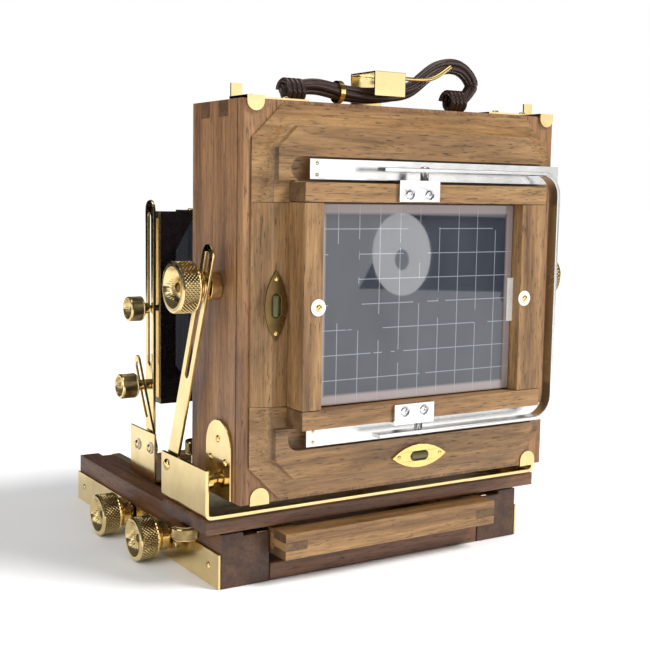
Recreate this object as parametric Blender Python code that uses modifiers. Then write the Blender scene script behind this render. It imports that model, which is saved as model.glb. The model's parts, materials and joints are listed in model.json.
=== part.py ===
"""Folding field camera for 4 x 5 inch film: walnut bed and back, brass standards, spring back.

Metres, +Z up. The origin is the centre of the bed's underside, +Y points towards the lens,
and the camera is set up as for use, with its back towards -Y.
"""

import math

import bmesh
import bpy
from mathutils import Vector

# ---------------------------------------------------------------- driving dimensions
GAP = 0.0003  # between pieces that touch
BODY_WIDTH = 0.200
BODY_HEIGHT = 0.2016
BODY_DEPTH = 0.0497
BODY_WALL = 0.008
BODY_REAR_Y = -0.1181  # where the removable back meets the body
BODY_LIFT = 0.0084  # between the platform's brass floor and the body

BED_LENGTH = 0.2072
BED_HEIGHT = 0.0292
RAIL_WIDTH = 0.0130
GUIDE_WIDTH = 0.0157
GUIDE_DROP = 0.0021  # from the rail's top down to the guide's
CROSS_RAIL_WIDTH = 0.0120
CROSS_RAIL_HEIGHT = 0.0100
TRIPOD_BOARD_LENGTH = 0.080
TRIPOD_BOARD_HEIGHT = 0.0090
TRIPOD_PLATE_SIZE = 0.050
TRIPOD_PLATE_THICKNESS = 0.0020
TRIPOD_HOLE_RADIUS = 0.0048  # 3/8 inch thread
SIDE_PLATE_HEIGHT = 0.0186
SIDE_PLATE_THICKNESS = 0.0012

FRAME_LENGTH = 0.2050  # the sliding focus frame
FRAME_OVERHANG = 0.0158  # how far it stands out behind the bed
FRAME_RAIL = 0.0130
FRAME_TOP_DROP = 0.0001
RACK_WIDTH = 0.0037
RACK_HEIGHT = 0.0019
SHAFT_RADIUS = 0.0020
PINION_RADIUS = 0.0035
PINION_CLEARANCE = 0.0001
SHAFT_Z = 0.0128
FOCUS_SHAFT_Y = 0.0166
LOCK_SHAFT_Y = -0.0384
FRAME_CLEARANCE = 0.0005  # between the shaft and the frame above it
HOLE_CLEARANCE = 0.0006
DRIVE_KNOB_RADIUS = 0.0122
DRIVE_KNOB_LENGTH = 0.0120
DRIVE_COLLAR_RADIUS = 0.0085
DRIVE_STANDOFF = 0.0075  # from the side plate to the knob

PLATFORM_LENGTH = 0.0545
PLATFORM_REAR_INSET = 0.0038  # the bed's rear end lies this far from the platform's
PLATFORM_GAP = 0.0018
PLATFORM_BOARD = 0.0077
BRACKET_THICKNESS = 0.0020
BRACKET_STANDOFF = 0.0110  # from the body's side to the bracket's outer face
BRACKET_HEIGHT = 0.0260
BRACKET_BEND = 0.0035

LOCK_INSET = 0.0012
LOCK_FROM_REAR = 0.0260
LOCK_GAP = 0.0005
SWING_INSET = 0.0080
SWING_FROM_FRONT = 0.0036
TILT_AXIS_BEHIND_FRONT = 0.0310  # from the body's front face back to its pivot
TILT_AXIS_ABOVE_BODY = 0.0091
HINGE_PLATE_WIDTH = 0.0275
HINGE_PLATE_HEIGHT = 0.0400
PLATE_THICKNESS = 0.0012
BOSS_RADIUS = 0.0073
BOSS_HEIGHT = 0.1086  # above the body's underside
STRUT_WIDTH = 0.0120
STRUT_THICKNESS = 0.0017
STRUT_PIVOT_FROM_FRONT = 0.0072  # from the bracket's front edge
STRUT_PIVOT_HEIGHT = 0.0177  # above the bracket's floor
STRUT_LENGTH = 0.1230
STRUT_SLOT_START = 0.0560
SLOT_WIDTH = 0.0046
SLOT_END_WALL = 0.0040
STUD_RADIUS = 0.0019
PIN_RADIUS = 0.0024
TILT_COLLAR_RADIUS = 0.0072
TILT_COLLAR_LENGTH = 0.0016
TILT_KNOB_RADIUS = 0.0132
TILT_KNOB_LENGTH = 0.0142

BACK_PLATE = 0.0063  # the square layer of the back
BACK_RAISED = 0.0085  # the eight-sided layer on it
BACK_SIDE_STEP = 0.0040
BACK_TOP_STEP = 0.0020
BACK_CHAMFER = 0.0170
HOLDER_CHANNEL = 0.1236  # a 4 x 5 inch film holder is 120.7 mm wide
CHANNEL_DEPTH = 0.0030
SPRING_SLOT_HEIGHT = 0.0120
SPRING_SLOT_DEPTH = 0.0060
SPRING_SLOT_INSET = 0.0240  # from the body's side in to the slot's closed end
FILM_WINDOW = (0.1210, 0.0960)
SCREEN_FRAME = (0.1550, 0.1220)
SCREEN_FRAME_THICKNESS = 0.0155
SCREEN_GLASS = (0.1270, 0.1016)
SCREEN_OFFSET_X = -0.0030
SCREEN_RECESS = 0.0070
SCREEN_LEDGE = 0.0050
GLASS_THICKNESS = 0.0020
LEVEL_SIZE = (0.0358, 0.0128)
LEVEL_WINDOW = (0.0120, 0.0050)
LEVEL_THICKNESS = 0.0011
SIDE_LEVEL_INSET = 0.0154  # from the body's side in to its middle
BOTTOM_LEVEL_X = 0.0036
BOTTOM_LEVEL_DROP = 0.0030  # below the middle of the band under the screen
SPRING_HEIGHT = 0.0100
SPRING_THICKNESS = 0.0008
SPRING_LEFT_INSET = 0.0330  # from the body's side in to the spring's end
SPRING_RIGHT_INSET = 0.0020
BAIL_HALF_HEIGHT = 0.0690
BAIL_RIGHT = 0.0878
BAIL_LEFT = -0.0310
BAIL_RADIUS = 0.0130
BAIL_STRAP = 0.0020
BAIL_DEPTH = 0.0070
BAIL_PIVOT_X = -0.0040
SCREEN_BRACKET = (-0.0230, 0.0023)

LATCH_LENGTH = 0.0400
LATCH_WIDTH = 0.0100
LATCH_TAB_RADIUS = 0.0048
LATCH_TAB_DROP = 0.0060
LATCH_FINGER = 0.0065
CATCH_WIDTH = 0.0200
CATCH_HEIGHT = 0.0200
CATCH_DEPTH = 0.0240
CATCH_FOOT = 0.0120
CATCH_LIP_HEIGHT = 0.0070
CATCH_REAR_FROM_BACK = 0.0137
HANDLE_RADIUS = 0.0056

FRONT_Y = 0.0346  # middle of the front posts
FRONT_BRACKET_LENGTH = 0.0370
FRONT_BRACKET_INSET = 0.0125  # from the bed's side in to the bracket
FRONT_BRACKET_THICKNESS = 0.0015
FRONT_BRACKET_HEIGHT = 0.0300
FRONT_PIVOT_HEIGHT = 0.0195  # above the bracket's underside
LINK_PIVOT_BACK = 0.0186
POST_WIDTH = 0.0120
POST_THICKNESS = 0.0018
POST_TOP = 0.2000
POST_GAP = 0.0032  # between the lens frame and a post
POST_SLOT = (0.1000, 0.1920)
LENS_FRAME_HEIGHT = 0.1190
LENS_FRAME_TOP = 0.1930
LENS_FRAME_THICKNESS = 0.0120
LENS_OPENING = 0.0780
LENS_BOARD = 0.0980
LENS_BOARD_THICKNESS = 0.0040
LENS_HOLE_RADIUS = 0.0205  # for a number 1 shutter
LINK_WIDTH = 0.0080
LINK_THICKNESS = 0.0015
LINK_LENGTH = 0.0560
LINK_SLOT_START = 0.0220
LINK_KNOB_HEIGHT = 0.0370  # above the posts' pivot
LINK_STANDOFF = 0.0040  # from a post to the link beside it
LINK_CLEARANCE = 0.0005  # from a link to the bracket's wall
RISE_KNOB_Z = 0.1335
RISE_NECK = 0.0046
RISE_STUD_ROOT = 0.0020  # how far the stud is let into the lens frame
RISE_KNOB_LENGTH = 0.0095
LINK_NECK = 0.0032
LINK_KNOB_LENGTH = 0.0110
FRONT_KNOB_RADIUS = 0.0077
FRONT_NECK_RADIUS = 0.0032
BELLOWS_PLEATS = 14
BELLOWS_REAR_INSET = (0.0077, 0.0145)  # from the flange in the body to the first fold
BELLOWS_FRONT = (0.0650, 0.0430)  # half the width and half the height
BELLOWS_PLEAT = 0.0055
BELLOWS_WALL = 0.0016
BELLOWS_INSET = 0.0030
BELLOWS_FLANGE = 0.0015

# ---------------------------------------------------------------- places that follow from them
HALF_BED = BED_LENGTH / 2
BED_HALF_WIDTH = BODY_WIDTH / 2
GUIDE_INNER = BED_HALF_WIDTH - RAIL_WIDTH - GUIDE_WIDTH
SIDE_PLATE_OUTER = BED_HALF_WIDTH + GAP + SIDE_PLATE_THICKNESS
BOARD_BOTTOM = BED_HEIGHT + PLATFORM_GAP
FLOOR_BOTTOM = BOARD_BOTTOM + PLATFORM_BOARD + GAP
FLOOR_TOP = FLOOR_BOTTOM + BRACKET_THICKNESS
PLATFORM_REAR = -HALF_BED - PLATFORM_REAR_INSET
PLATFORM_FRONT = PLATFORM_REAR + PLATFORM_LENGTH
BODY_BOTTOM = FLOOR_TOP + BODY_LIFT
BODY_TOP = BODY_BOTTOM + BODY_HEIGHT
BODY_MIDDLE = (BODY_BOTTOM + BODY_TOP) / 2
BODY_FRONT_Y = BODY_REAR_Y + BODY_DEPTH
BOTTOM_LEVEL_Z = (BODY_BOTTOM + BODY_MIDDLE - SCREEN_FRAME[1] / 2) / 2 - BOTTOM_LEVEL_DROP
TILT_AXIS = Vector((0, BODY_FRONT_Y - TILT_AXIS_BEHIND_FRONT, BODY_BOTTOM + TILT_AXIS_ABOVE_BODY))
BODY_SIDE = BODY_WIDTH / 2
HINGE_PLATE_OUTER = BODY_SIDE + GAP + PLATE_THICKNESS
BRACKET_HALF_WIDTH = BODY_SIDE + BRACKET_STANDOFF
BRACKET_INNER = BRACKET_HALF_WIDTH - BRACKET_THICKNESS
STRUT_OUTER = BRACKET_INNER - GAP
STRUT_INNER = STRUT_OUTER - STRUT_THICKNESS
STRUT_PIVOT = Vector((0, PLATFORM_FRONT - STRUT_PIVOT_FROM_FRONT, FLOOR_TOP + STRUT_PIVOT_HEIGHT))
BOSS = Vector((0, TILT_AXIS.y + 0.0020, BODY_BOTTOM + BOSS_HEIGHT))
STRUT_DIRECTION = (BOSS - STRUT_PIVOT).normalized()
BACK_REAR_Y = BODY_REAR_Y - BACK_PLATE
RAIL_FACE_Y = BACK_REAR_Y - BACK_RAISED
CHANNEL_FACE_Y = RAIL_FACE_Y + CHANNEL_DEPTH
SCREEN_FRONT_Y = CHANNEL_FACE_Y - GAP
SCREEN_REAR_Y = SCREEN_FRONT_Y - SCREEN_FRAME_THICKNESS
CATCH_REAR = BODY_REAR_Y + CATCH_REAR_FROM_BACK
BAIL_PIVOT = Vector((BAIL_PIVOT_X, SCREEN_REAR_Y + BAIL_DEPTH / 2, BODY_MIDDLE))
LOCK_Y = PLATFORM_REAR + LOCK_FROM_REAR
PLATFORM_LOCK = Vector((LOCK_INSET - BRACKET_HALF_WIDTH, LOCK_Y, BOARD_BOTTOM - LOCK_GAP))
SWING_LOCK = Vector((SWING_INSET - BODY_SIDE, PLATFORM_FRONT - SWING_FROM_FRONT, FLOOR_TOP))
FRAME_REAR = -HALF_BED - FRAME_OVERHANG
FRAME_BOTTOM = SHAFT_Z + SHAFT_RADIUS + FRAME_CLEARANCE
FRAME_TOP = BED_HEIGHT - FRAME_TOP_DROP
FRAME_HALF_WIDTH = GUIDE_INNER - 0.0008
RACK_MIDDLE = FRAME_HALF_WIDTH - FRAME_RAIL - GAP - RACK_WIDTH / 2
FRONT_BRACKET_HALF_WIDTH = BED_HALF_WIDTH - FRONT_BRACKET_INSET
FRONT_FOOT = BED_HEIGHT + GAP
FRONT_PIVOT = Vector((0, FRONT_Y, FRONT_FOOT + FRONT_PIVOT_HEIGHT))
LINK_PIVOT = Vector((0, FRONT_Y - LINK_PIVOT_BACK, FRONT_PIVOT.z + 0.0010))
LINK_KNOB = Vector((0, FRONT_Y, FRONT_PIVOT.z + LINK_KNOB_HEIGHT))
LINK_OUTER = FRONT_BRACKET_HALF_WIDTH - FRONT_BRACKET_THICKNESS - LINK_CLEARANCE
LINK_INNER = LINK_OUTER - LINK_THICKNESS
POST_OUTER = LINK_INNER - LINK_STANDOFF
POST_INNER = POST_OUTER - POST_THICKNESS
LENS_FRAME_SIDE = POST_INNER - POST_GAP
LENS_MIDDLE = LENS_FRAME_TOP - LENS_FRAME_HEIGHT / 2
LENS_FRAME_FRONT = FRONT_Y + LENS_FRAME_THICKNESS / 2

WALNUT = ((0.30, 0.17, 0.08), 0.45, 0.0)
DARK_WALNUT = ((0.16, 0.08, 0.04), 0.45, 0.0)
BRASS = ((0.80, 0.58, 0.22), 0.18, 1.0)
STEEL = ((0.80, 0.80, 0.80), 0.20, 1.0)
GLASS = ((0.10, 0.11, 0.13), 0.25, 0.0)
BLACK = ((0.02, 0.015, 0.015), 0.50, 0.0)
LEATHER = ((0.05, 0.03, 0.025), 0.40, 0.0)

PARTS = bpy.data.collections.new("field_camera")
CUTTERS = bpy.data.collections.new("cutters")
BODIES = {}


# ---------------------------------------------------------------- helpers
def clear_scene():
    for obj in list(bpy.data.objects):
        bpy.data.objects.remove(obj, do_unlink=True)
    bpy.context.scene.collection.children.link(PARTS)
    bpy.context.scene.collection.children.link(CUTTERS)


def body(name, origin, parent=None):
    """An empty on a joint's axis. The pieces that move together are its children."""
    empty = bpy.data.objects.new(name, None)
    empty.empty_display_size = 0.01
    PARTS.objects.link(empty)
    empty.location = Vector(origin)
    if parent:
        empty.parent = BODIES[parent][0]
        empty.location -= BODIES[parent][1]
    BODIES[name] = (empty, Vector(origin))


def finish(obj, look, owner):
    """Gives a piece its material and its parent, keeping it where it was made."""
    colour, roughness, metallic = look
    material = bpy.data.materials.new(obj.name)
    material.use_nodes = True
    shader = material.node_tree.nodes["Principled BSDF"]
    shader.inputs["Base Color"].default_value = (*colour, 1.0)
    shader.inputs["Roughness"].default_value = roughness
    shader.inputs["Metallic"].default_value = metallic
    obj.data.materials.append(material)
    empty, origin = BODIES[owner]
    obj.parent = empty
    obj.location -= origin
    return obj


def new_object(name, data, collection=PARTS):
    obj = bpy.data.objects.new(name, data)
    collection.objects.link(obj)
    return obj


def cube_mesh(name, low, high):
    """A box's mesh about its own middle, and that middle."""
    size = Vector(high) - Vector(low)
    mesh = bpy.data.meshes.new(name)
    shape = bmesh.new()
    bmesh.ops.create_cube(shape, size=1.0)
    bmesh.ops.scale(shape, vec=size, verts=shape.verts)
    shape.to_mesh(mesh)
    shape.free()
    return mesh, (Vector(low) + Vector(high)) / 2


def box(name, low, high, edge=0.0):
    """A box between two corners, with its edges taken off by edge."""
    mesh, middle = cube_mesh(name, low, high)
    obj = new_object(name, mesh)
    obj.location = middle
    if edge:
        bevel = obj.modifiers.new("edges", "BEVEL")
        bevel.width = edge
        bevel.segments = 1
    return obj


def boolean(obj, operand, operation):
    operand.hide_render = True
    operand.display_type = "WIRE"
    modifier = obj.modifiers.new(operation.lower(), "BOOLEAN")
    modifier.operation = operation
    modifier.object = operand
    modifier.solver = "EXACT"


def cut_box(obj, low, high):
    mesh, middle = cube_mesh(obj.name + "_cutter", low, high)
    cutter = new_object(obj.name + "_cutter", mesh, CUTTERS)
    cutter.location = middle
    boolean(obj, cutter, "DIFFERENCE")


def add_box(obj, low, high):
    mesh, middle = cube_mesh(obj.name + "_addition", low, high)
    addition = new_object(obj.name + "_addition", mesh, CUTTERS)
    addition.location = middle
    boolean(obj, addition, "UNION")


def rod_mesh(name, radius, length, sides=16):
    mesh = bpy.data.meshes.new(name)
    shape = bmesh.new()
    bmesh.ops.create_cone(
        shape, cap_ends=True, segments=sides, radius1=radius, radius2=radius, depth=length
    )
    shape.to_mesh(mesh)
    shape.free()
    return mesh


ALONG_X = (0, math.pi / 2, 0)


def rod_along_x(name, radius, x_from, x_to, y, z, collection=PARTS):
    rod = new_object(name, rod_mesh(name, radius, abs(x_to - x_from)), collection)
    rod.rotation_euler = ALONG_X
    rod.location = ((x_from + x_to) / 2, y, z)
    return rod


def drill_along_x(obj, radius, x_from, x_to, y, z):
    drill = rod_along_x(obj.name + "_drill", radius, x_from, x_to, y, z, CUTTERS)
    boolean(obj, drill, "DIFFERENCE")


def turned(name, profile, steps=20):
    """A turned piece on its own Z axis. The profile is (radius, height), from top to bottom."""
    mesh = bpy.data.meshes.new(name)
    points = [(radius, 0.0, height) for radius, height in profile]
    mesh.from_pydata(points, [(i, i + 1) for i in range(len(points) - 1)], [])
    obj = new_object(name, mesh)
    screw = obj.modifiers.new("turn", "SCREW")
    screw.axis = "Z"
    screw.angle = 2 * math.pi
    screw.steps = steps
    screw.render_steps = steps
    screw.use_merge_vertices = True
    screw.merge_threshold = 0.00001
    screw.use_smooth_shade = True
    return obj


def knob_profile(radius, length, neck_radius, neck_length, bore_depth):
    """A knob with a dished face at the top, and a tapered neck below the knurled rim."""
    edge = 0.0006
    dish = radius * 0.70
    return [
        (0.0, length - bore_depth),
        (dish * 0.75, length - bore_depth),
        (dish, length - edge),
        (radius - edge, length),
        (radius, length - edge),
        (radius, neck_length + edge),
        (radius - edge, neck_length),
        (neck_radius, 0.0),
        (0.0, 0.0),
    ]


def side_knob(name, side, x_from, y, z, profile):
    """A turned knob whose axis lies along X and whose dished face looks outwards."""
    knob = turned(name, profile)
    knob.rotation_euler = (0, side * math.pi / 2, 0)
    knob.location = (side * x_from, y, z)
    return knob


PLANES = {
    "XY": (0, 0, 0),
    "XZ": (math.pi / 2, 0, 0),
    "YZ": (math.pi / 2, 0, math.pi / 2),
}


def sheet(name, loops, low, high, plane, collection=PARTS):
    """A flat piece: closed outlines in a plane, holes included, filled from low to high across it."""
    curve = bpy.data.curves.new(name, "CURVE")
    curve.dimensions = "2D"
    curve.fill_mode = "BOTH"
    curve.extrude = (high - low) / 2
    for loop in loops:
        spline = curve.splines.new("POLY")
        spline.points.add(len(loop) - 1)
        for point, (across, up) in zip(spline.points, loop):
            point.co = (across, up, 0.0, 1.0)
        spline.use_cyclic_u = True
    obj = new_object(name, curve, collection)
    obj.rotation_euler = PLANES[plane]
    axis = {"XY": (0, 0, 1), "XZ": (0, 1, 0), "YZ": (1, 0, 0)}[plane]
    obj.location = Vector(axis) * (low + high) / 2
    return obj


def meshed(obj):
    """The same piece as a mesh, so that it can be cut or joined."""
    bpy.context.view_layer.update()
    name = obj.name
    collection = obj.users_collection[0]
    graph = bpy.context.evaluated_depsgraph_get()
    mesh = bpy.data.meshes.new_from_object(obj.evaluated_get(graph))
    shape = bmesh.new()
    shape.from_mesh(mesh)
    bmesh.ops.remove_doubles(shape, verts=shape.verts, dist=0.000001)
    bmesh.ops.recalc_face_normals(shape, faces=shape.faces)
    shape.to_mesh(mesh)
    shape.free()
    matrix = obj.matrix_world.copy()
    bpy.data.objects.remove(obj, do_unlink=True)
    solid = new_object(name, mesh, collection)
    solid.matrix_world = matrix
    return solid


def rectangle(x_low, x_high, y_low, y_high):
    return [(x_low, y_low), (x_high, y_low), (x_high, y_high), (x_low, y_high)]


def arc(middle, radius, start, end, steps):
    """Points on an arc, from one angle in degrees to another."""
    angles = [math.radians(start + (end - start) * i / steps) for i in range(steps + 1)]
    return [(middle[0] + radius * math.cos(a), middle[1] + radius * math.sin(a)) for a in angles]


def stadium(first, last, radius, steps=6):
    """A bar with round ends, or a slot, between two middles."""
    lean = math.degrees(math.atan2(last[1] - first[1], last[0] - first[0]))
    near = arc(first, radius, lean + 90, lean + 270, steps)
    return near + arc(last, radius, lean - 90, lean + 90, steps)


def lens_outline(middle, length, width, upright, steps=8):
    """The pointed oval of a level's plate: two equal arcs."""
    radius = (length * length / 4 + width * width / 4) / width
    half = math.degrees(math.asin(length / 2 / radius))
    reach = radius - width / 2
    top = arc((0, -reach), radius, 90 - half, 90 + half, steps)
    low = arc((0, reach), radius, 270 - half, 270 + half, steps)
    points = top + low[1:-1]
    if upright:
        points = [(-v, u) for u, v in points]
    return [(middle[0] + u, middle[1] + v) for u, v in points]


def along(start, distance):
    """The (y, z) point at a distance from the strut's pivot, along the strut."""
    point = start + STRUT_DIRECTION * distance
    return (point.y, point.z)


SIDES = (("left", -1), ("right", 1))


def side_span(side, inner, outer):
    """A span across X on one side, given by its distances from the middle."""
    return (inner, outer) if side > 0 else (-outer, -inner)


# ---------------------------------------------------------------- bed
def make_bed():
    for label, side in SIDES:
        profile = [
            (GUIDE_INNER, 0.0),
            (BED_HALF_WIDTH, 0.0),
            (BED_HALF_WIDTH, BED_HEIGHT),
            (BED_HALF_WIDTH - RAIL_WIDTH, BED_HEIGHT),
            (BED_HALF_WIDTH - RAIL_WIDTH, BED_HEIGHT - GUIDE_DROP),
            (GUIDE_INNER, BED_HEIGHT - GUIDE_DROP),
        ]
        loop = [(side * x, z) for x, z in profile]
        rail = meshed(sheet("base_rail_" + label, [loop], -HALF_BED, HALF_BED, "XZ"))
        plate_low, plate_high = side_span(side, BED_HALF_WIDTH + GAP, SIDE_PLATE_OUTER)
        plate = box(
            "side_plate_" + label,
            (plate_low, -HALF_BED, 0.0),
            (plate_high, HALF_BED, SIDE_PLATE_HEIGHT),
        )
        shafts = [FOCUS_SHAFT_Y]
        if side < 0:
            shafts.append(LOCK_SHAFT_Y)
        for piece in (rail, plate):
            for y in shafts:
                ends = (side * (GUIDE_INNER - 0.002), side * (SIDE_PLATE_OUTER + 0.002))
                drill_along_x(piece, SHAFT_RADIUS + HOLE_CLEARANCE, *ends, y, SHAFT_Z)
        finish(rail, DARK_WALNUT, "bed")
        finish(plate, BRASS, "bed")
    inside = GUIDE_INNER - GAP
    for label, side in (("rear", -1), ("front", 1)):
        y_low, y_high = side_span(side, HALF_BED - CROSS_RAIL_WIDTH, HALF_BED)
        rail = box("base_%s_rail" % label, (-inside, y_low, 0.0), (inside, y_high, CROSS_RAIL_HEIGHT), 0.0005)
        finish(rail, DARK_WALNUT, "bed")
    board_rear = -TRIPOD_BOARD_LENGTH * 0.75
    board = box(
        "tripod_board",
        (-inside, board_rear, 0.0),
        (inside, board_rear + TRIPOD_BOARD_LENGTH, TRIPOD_BOARD_HEIGHT),
    )
    plate_middle = board_rear + GAP + TRIPOD_PLATE_SIZE / 2 + 0.003
    half = TRIPOD_PLATE_SIZE / 2
    cut_box(
        board,
        (-half - GAP, plate_middle - half - GAP, -0.001),
        (half + GAP, plate_middle + half + GAP, TRIPOD_PLATE_THICKNESS + GAP),
    )
    drill = new_object(
        "tripod_drill", rod_mesh("tripod_drill", TRIPOD_HOLE_RADIUS + HOLE_CLEARANCE, 0.05, 24), CUTTERS
    )
    drill.location = (0.0, plate_middle, 0.0)
    boolean(board, drill, "DIFFERENCE")
    finish(board, WALNUT, "bed")
    outline = rectangle(-half, half, plate_middle - half, plate_middle + half)
    hole = arc((0.0, plate_middle), TRIPOD_HOLE_RADIUS, 0, 345, 23)
    plate = sheet("tripod_plate", [outline, hole], 0.0, TRIPOD_PLATE_THICKNESS, "XY")
    finish(plate, BRASS, "bed")


def make_bed_lock():
    """A screw that clamps the focus frame from the left."""
    knob = side_knob(
        "bed_lock_knob",
        -1,
        SIDE_PLATE_OUTER + 0.0008,
        LOCK_SHAFT_Y,
        SHAFT_Z,
        drive_knob_profile(),
    )
    stud = rod_along_x(
        "bed_lock_stud",
        SHAFT_RADIUS,
        -(SIDE_PLATE_OUTER + DRIVE_STANDOFF),
        -(GUIDE_INNER + 0.0010),
        LOCK_SHAFT_Y,
        SHAFT_Z,
        CUTTERS,
    )
    boolean(knob, stud, "UNION")
    finish(knob, BRASS, "bed_lock")


def drive_knob_profile():
    """A knob with a collar between it and the side plate."""
    stand = DRIVE_STANDOFF
    top = stand + DRIVE_KNOB_LENGTH
    dish = DRIVE_KNOB_RADIUS * 0.72
    edge = 0.0006
    return [
        (0.0, top - 0.0050),
        (dish * 0.8, top - 0.0050),
        (dish, top - edge),
        (DRIVE_KNOB_RADIUS - edge, top),
        (DRIVE_KNOB_RADIUS, top - edge),
        (DRIVE_KNOB_RADIUS, stand + edge),
        (DRIVE_KNOB_RADIUS - edge, stand),
        (DRIVE_COLLAR_RADIUS * 0.55, stand - 0.0015),
        (DRIVE_COLLAR_RADIUS * 0.55, 0.0045),
        (DRIVE_COLLAR_RADIUS, 0.0042),
        (DRIVE_COLLAR_RADIUS, 0.0024),
        (DRIVE_COLLAR_RADIUS * 0.55, 0.0021),
        (DRIVE_COLLAR_RADIUS * 0.55, 0.0),
        (0.0, 0.0),
    ]


# ---------------------------------------------------------------- focusing
def make_focus_frame():
    """The sliding frame that carries the front standard, with a rack inside each rail."""
    front = FRAME_REAR + FRAME_LENGTH
    outer = rectangle(-FRAME_HALF_WIDTH, FRAME_HALF_WIDTH, FRAME_REAR, front)
    inner_half = FRAME_HALF_WIDTH - FRAME_RAIL
    inner = rectangle(-inner_half, inner_half, FRAME_REAR + FRAME_RAIL, front - FRAME_RAIL)
    frame = sheet("focus_frame", [outer, inner], FRAME_BOTTOM, FRAME_TOP, "XY")
    finish(frame, WALNUT, "focus_carriage")
    for label, side in SIDES:
        low, high = side_span(side, RACK_MIDDLE - RACK_WIDTH / 2, RACK_MIDDLE + RACK_WIDTH / 2)
        rack_low = SHAFT_Z + PINION_RADIUS + PINION_CLEARANCE
        rack = box(
            "focus_rack_" + label,
            (low, FRAME_REAR + FRAME_RAIL + GAP, rack_low),
            (high, front - FRAME_RAIL - GAP, rack_low + RACK_HEIGHT),
        )
        finish(rack, BRASS, "focus_carriage")


def make_focus_drive():
    """One shaft with a pinion under each rack and a knob at each end."""
    reach = SIDE_PLATE_OUTER + 0.0008 - GAP
    shaft = rod_along_x("focus_shaft", SHAFT_RADIUS, -reach, reach, FOCUS_SHAFT_Y, SHAFT_Z)
    for label, side in SIDES:
        low, high = side_span(side, RACK_MIDDLE - RACK_WIDTH / 2, RACK_MIDDLE + RACK_WIDTH / 2)
        pinion = rod_along_x(
            "pinion_" + label, PINION_RADIUS, low, high, FOCUS_SHAFT_Y, SHAFT_Z, CUTTERS
        )
        boolean(shaft, pinion, "UNION")
        knob = side_knob(
            "focus_knob_" + label,
            side,
            SIDE_PLATE_OUTER + 0.0008,
            FOCUS_SHAFT_Y,
            SHAFT_Z,
            drive_knob_profile(),
        )
        finish(knob, BRASS, "focus_drive")
    finish(shaft, BRASS, "focus_drive")


# ---------------------------------------------------------------- rear platform
def make_platform():
    board = box(
        "platform_board",
        (-BRACKET_HALF_WIDTH + GAP, PLATFORM_REAR, BOARD_BOTTOM),
        (BRACKET_HALF_WIDTH - GAP, PLATFORM_FRONT, BOARD_BOTTOM + PLATFORM_BOARD),
        0.0006,
    )
    finish(board, WALNUT, "rear_carriage")
    top = FLOOR_BOTTOM + BRACKET_HEIGHT
    outer, inner, bend = BRACKET_HALF_WIDTH, BRACKET_INNER, BRACKET_BEND
    fold = bend - BRACKET_THICKNESS
    right = [(inner, top), (outer, top)][::-1]
    loop = (
        arc((-outer + bend, FLOOR_BOTTOM + bend), bend, 180, 270, 4)
        + arc((outer - bend, FLOOR_BOTTOM + bend), bend, 270, 360, 4)
        + right
        + arc((inner - fold, FLOOR_TOP + fold), fold, 0, -90, 3)
        + arc((-inner + fold, FLOOR_TOP + fold), fold, 270, 180, 3)
        + [(-inner, top), (-outer, top)]
    )
    bracket = sheet("platform_bracket", [loop], PLATFORM_REAR, PLATFORM_FRONT, "XZ")
    finish(bracket, BRASS, "rear_carriage")
    for label, side in SIDES:
        profile = [
            (0.0, 0.0),
            (0.0049, 0.0),
            (0.0049, -0.0042),
            (0.0030, -0.0045),
            (0.0030, HINGE_PLATE_OUTER + GAP - BRACKET_INNER + GAP),
            (0.0, HINGE_PLATE_OUTER + GAP - BRACKET_INNER + GAP),
        ]
        pivot = turned("tilt_pivot_" + label, profile, 16)
        pivot.rotation_euler = (0, side * math.pi / 2, 0)
        pivot.location = (side * (BRACKET_INNER - GAP), TILT_AXIS.y, TILT_AXIS.z)
        finish(pivot, BRASS, "rear_carriage")


def make_platform_locks():
    """The disc under the board's left end, and the tall screw in front of the body."""
    lock = turned(
        "platform_lock_knob",
        [(0.0, 0.0), (0.0068, 0.0), (0.0074, -0.0006), (0.0074, -0.0066), (0.0068, -0.0072), (0.0, -0.0072)],
    )
    lock.location = PLATFORM_LOCK
    finish(lock, BRASS, "platform_lock")
    swing = turned(
        "swing_lock_knob",
        [
            (0.0, 0.0285),
            (0.0030, 0.0285),
            (0.0055, 0.0270),
            (0.0060, 0.0264),
            (0.0060, 0.0190),
            (0.0055, 0.0184),
            (0.0022, 0.0180),
            (0.0022, 0.0024),
            (0.0044, 0.0020),
            (0.0044, 0.0004),
            (0.0, 0.0004),
        ],
        16,
    )
    swing.location = SWING_LOCK
    finish(swing, BRASS, "swing_lock")


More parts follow.
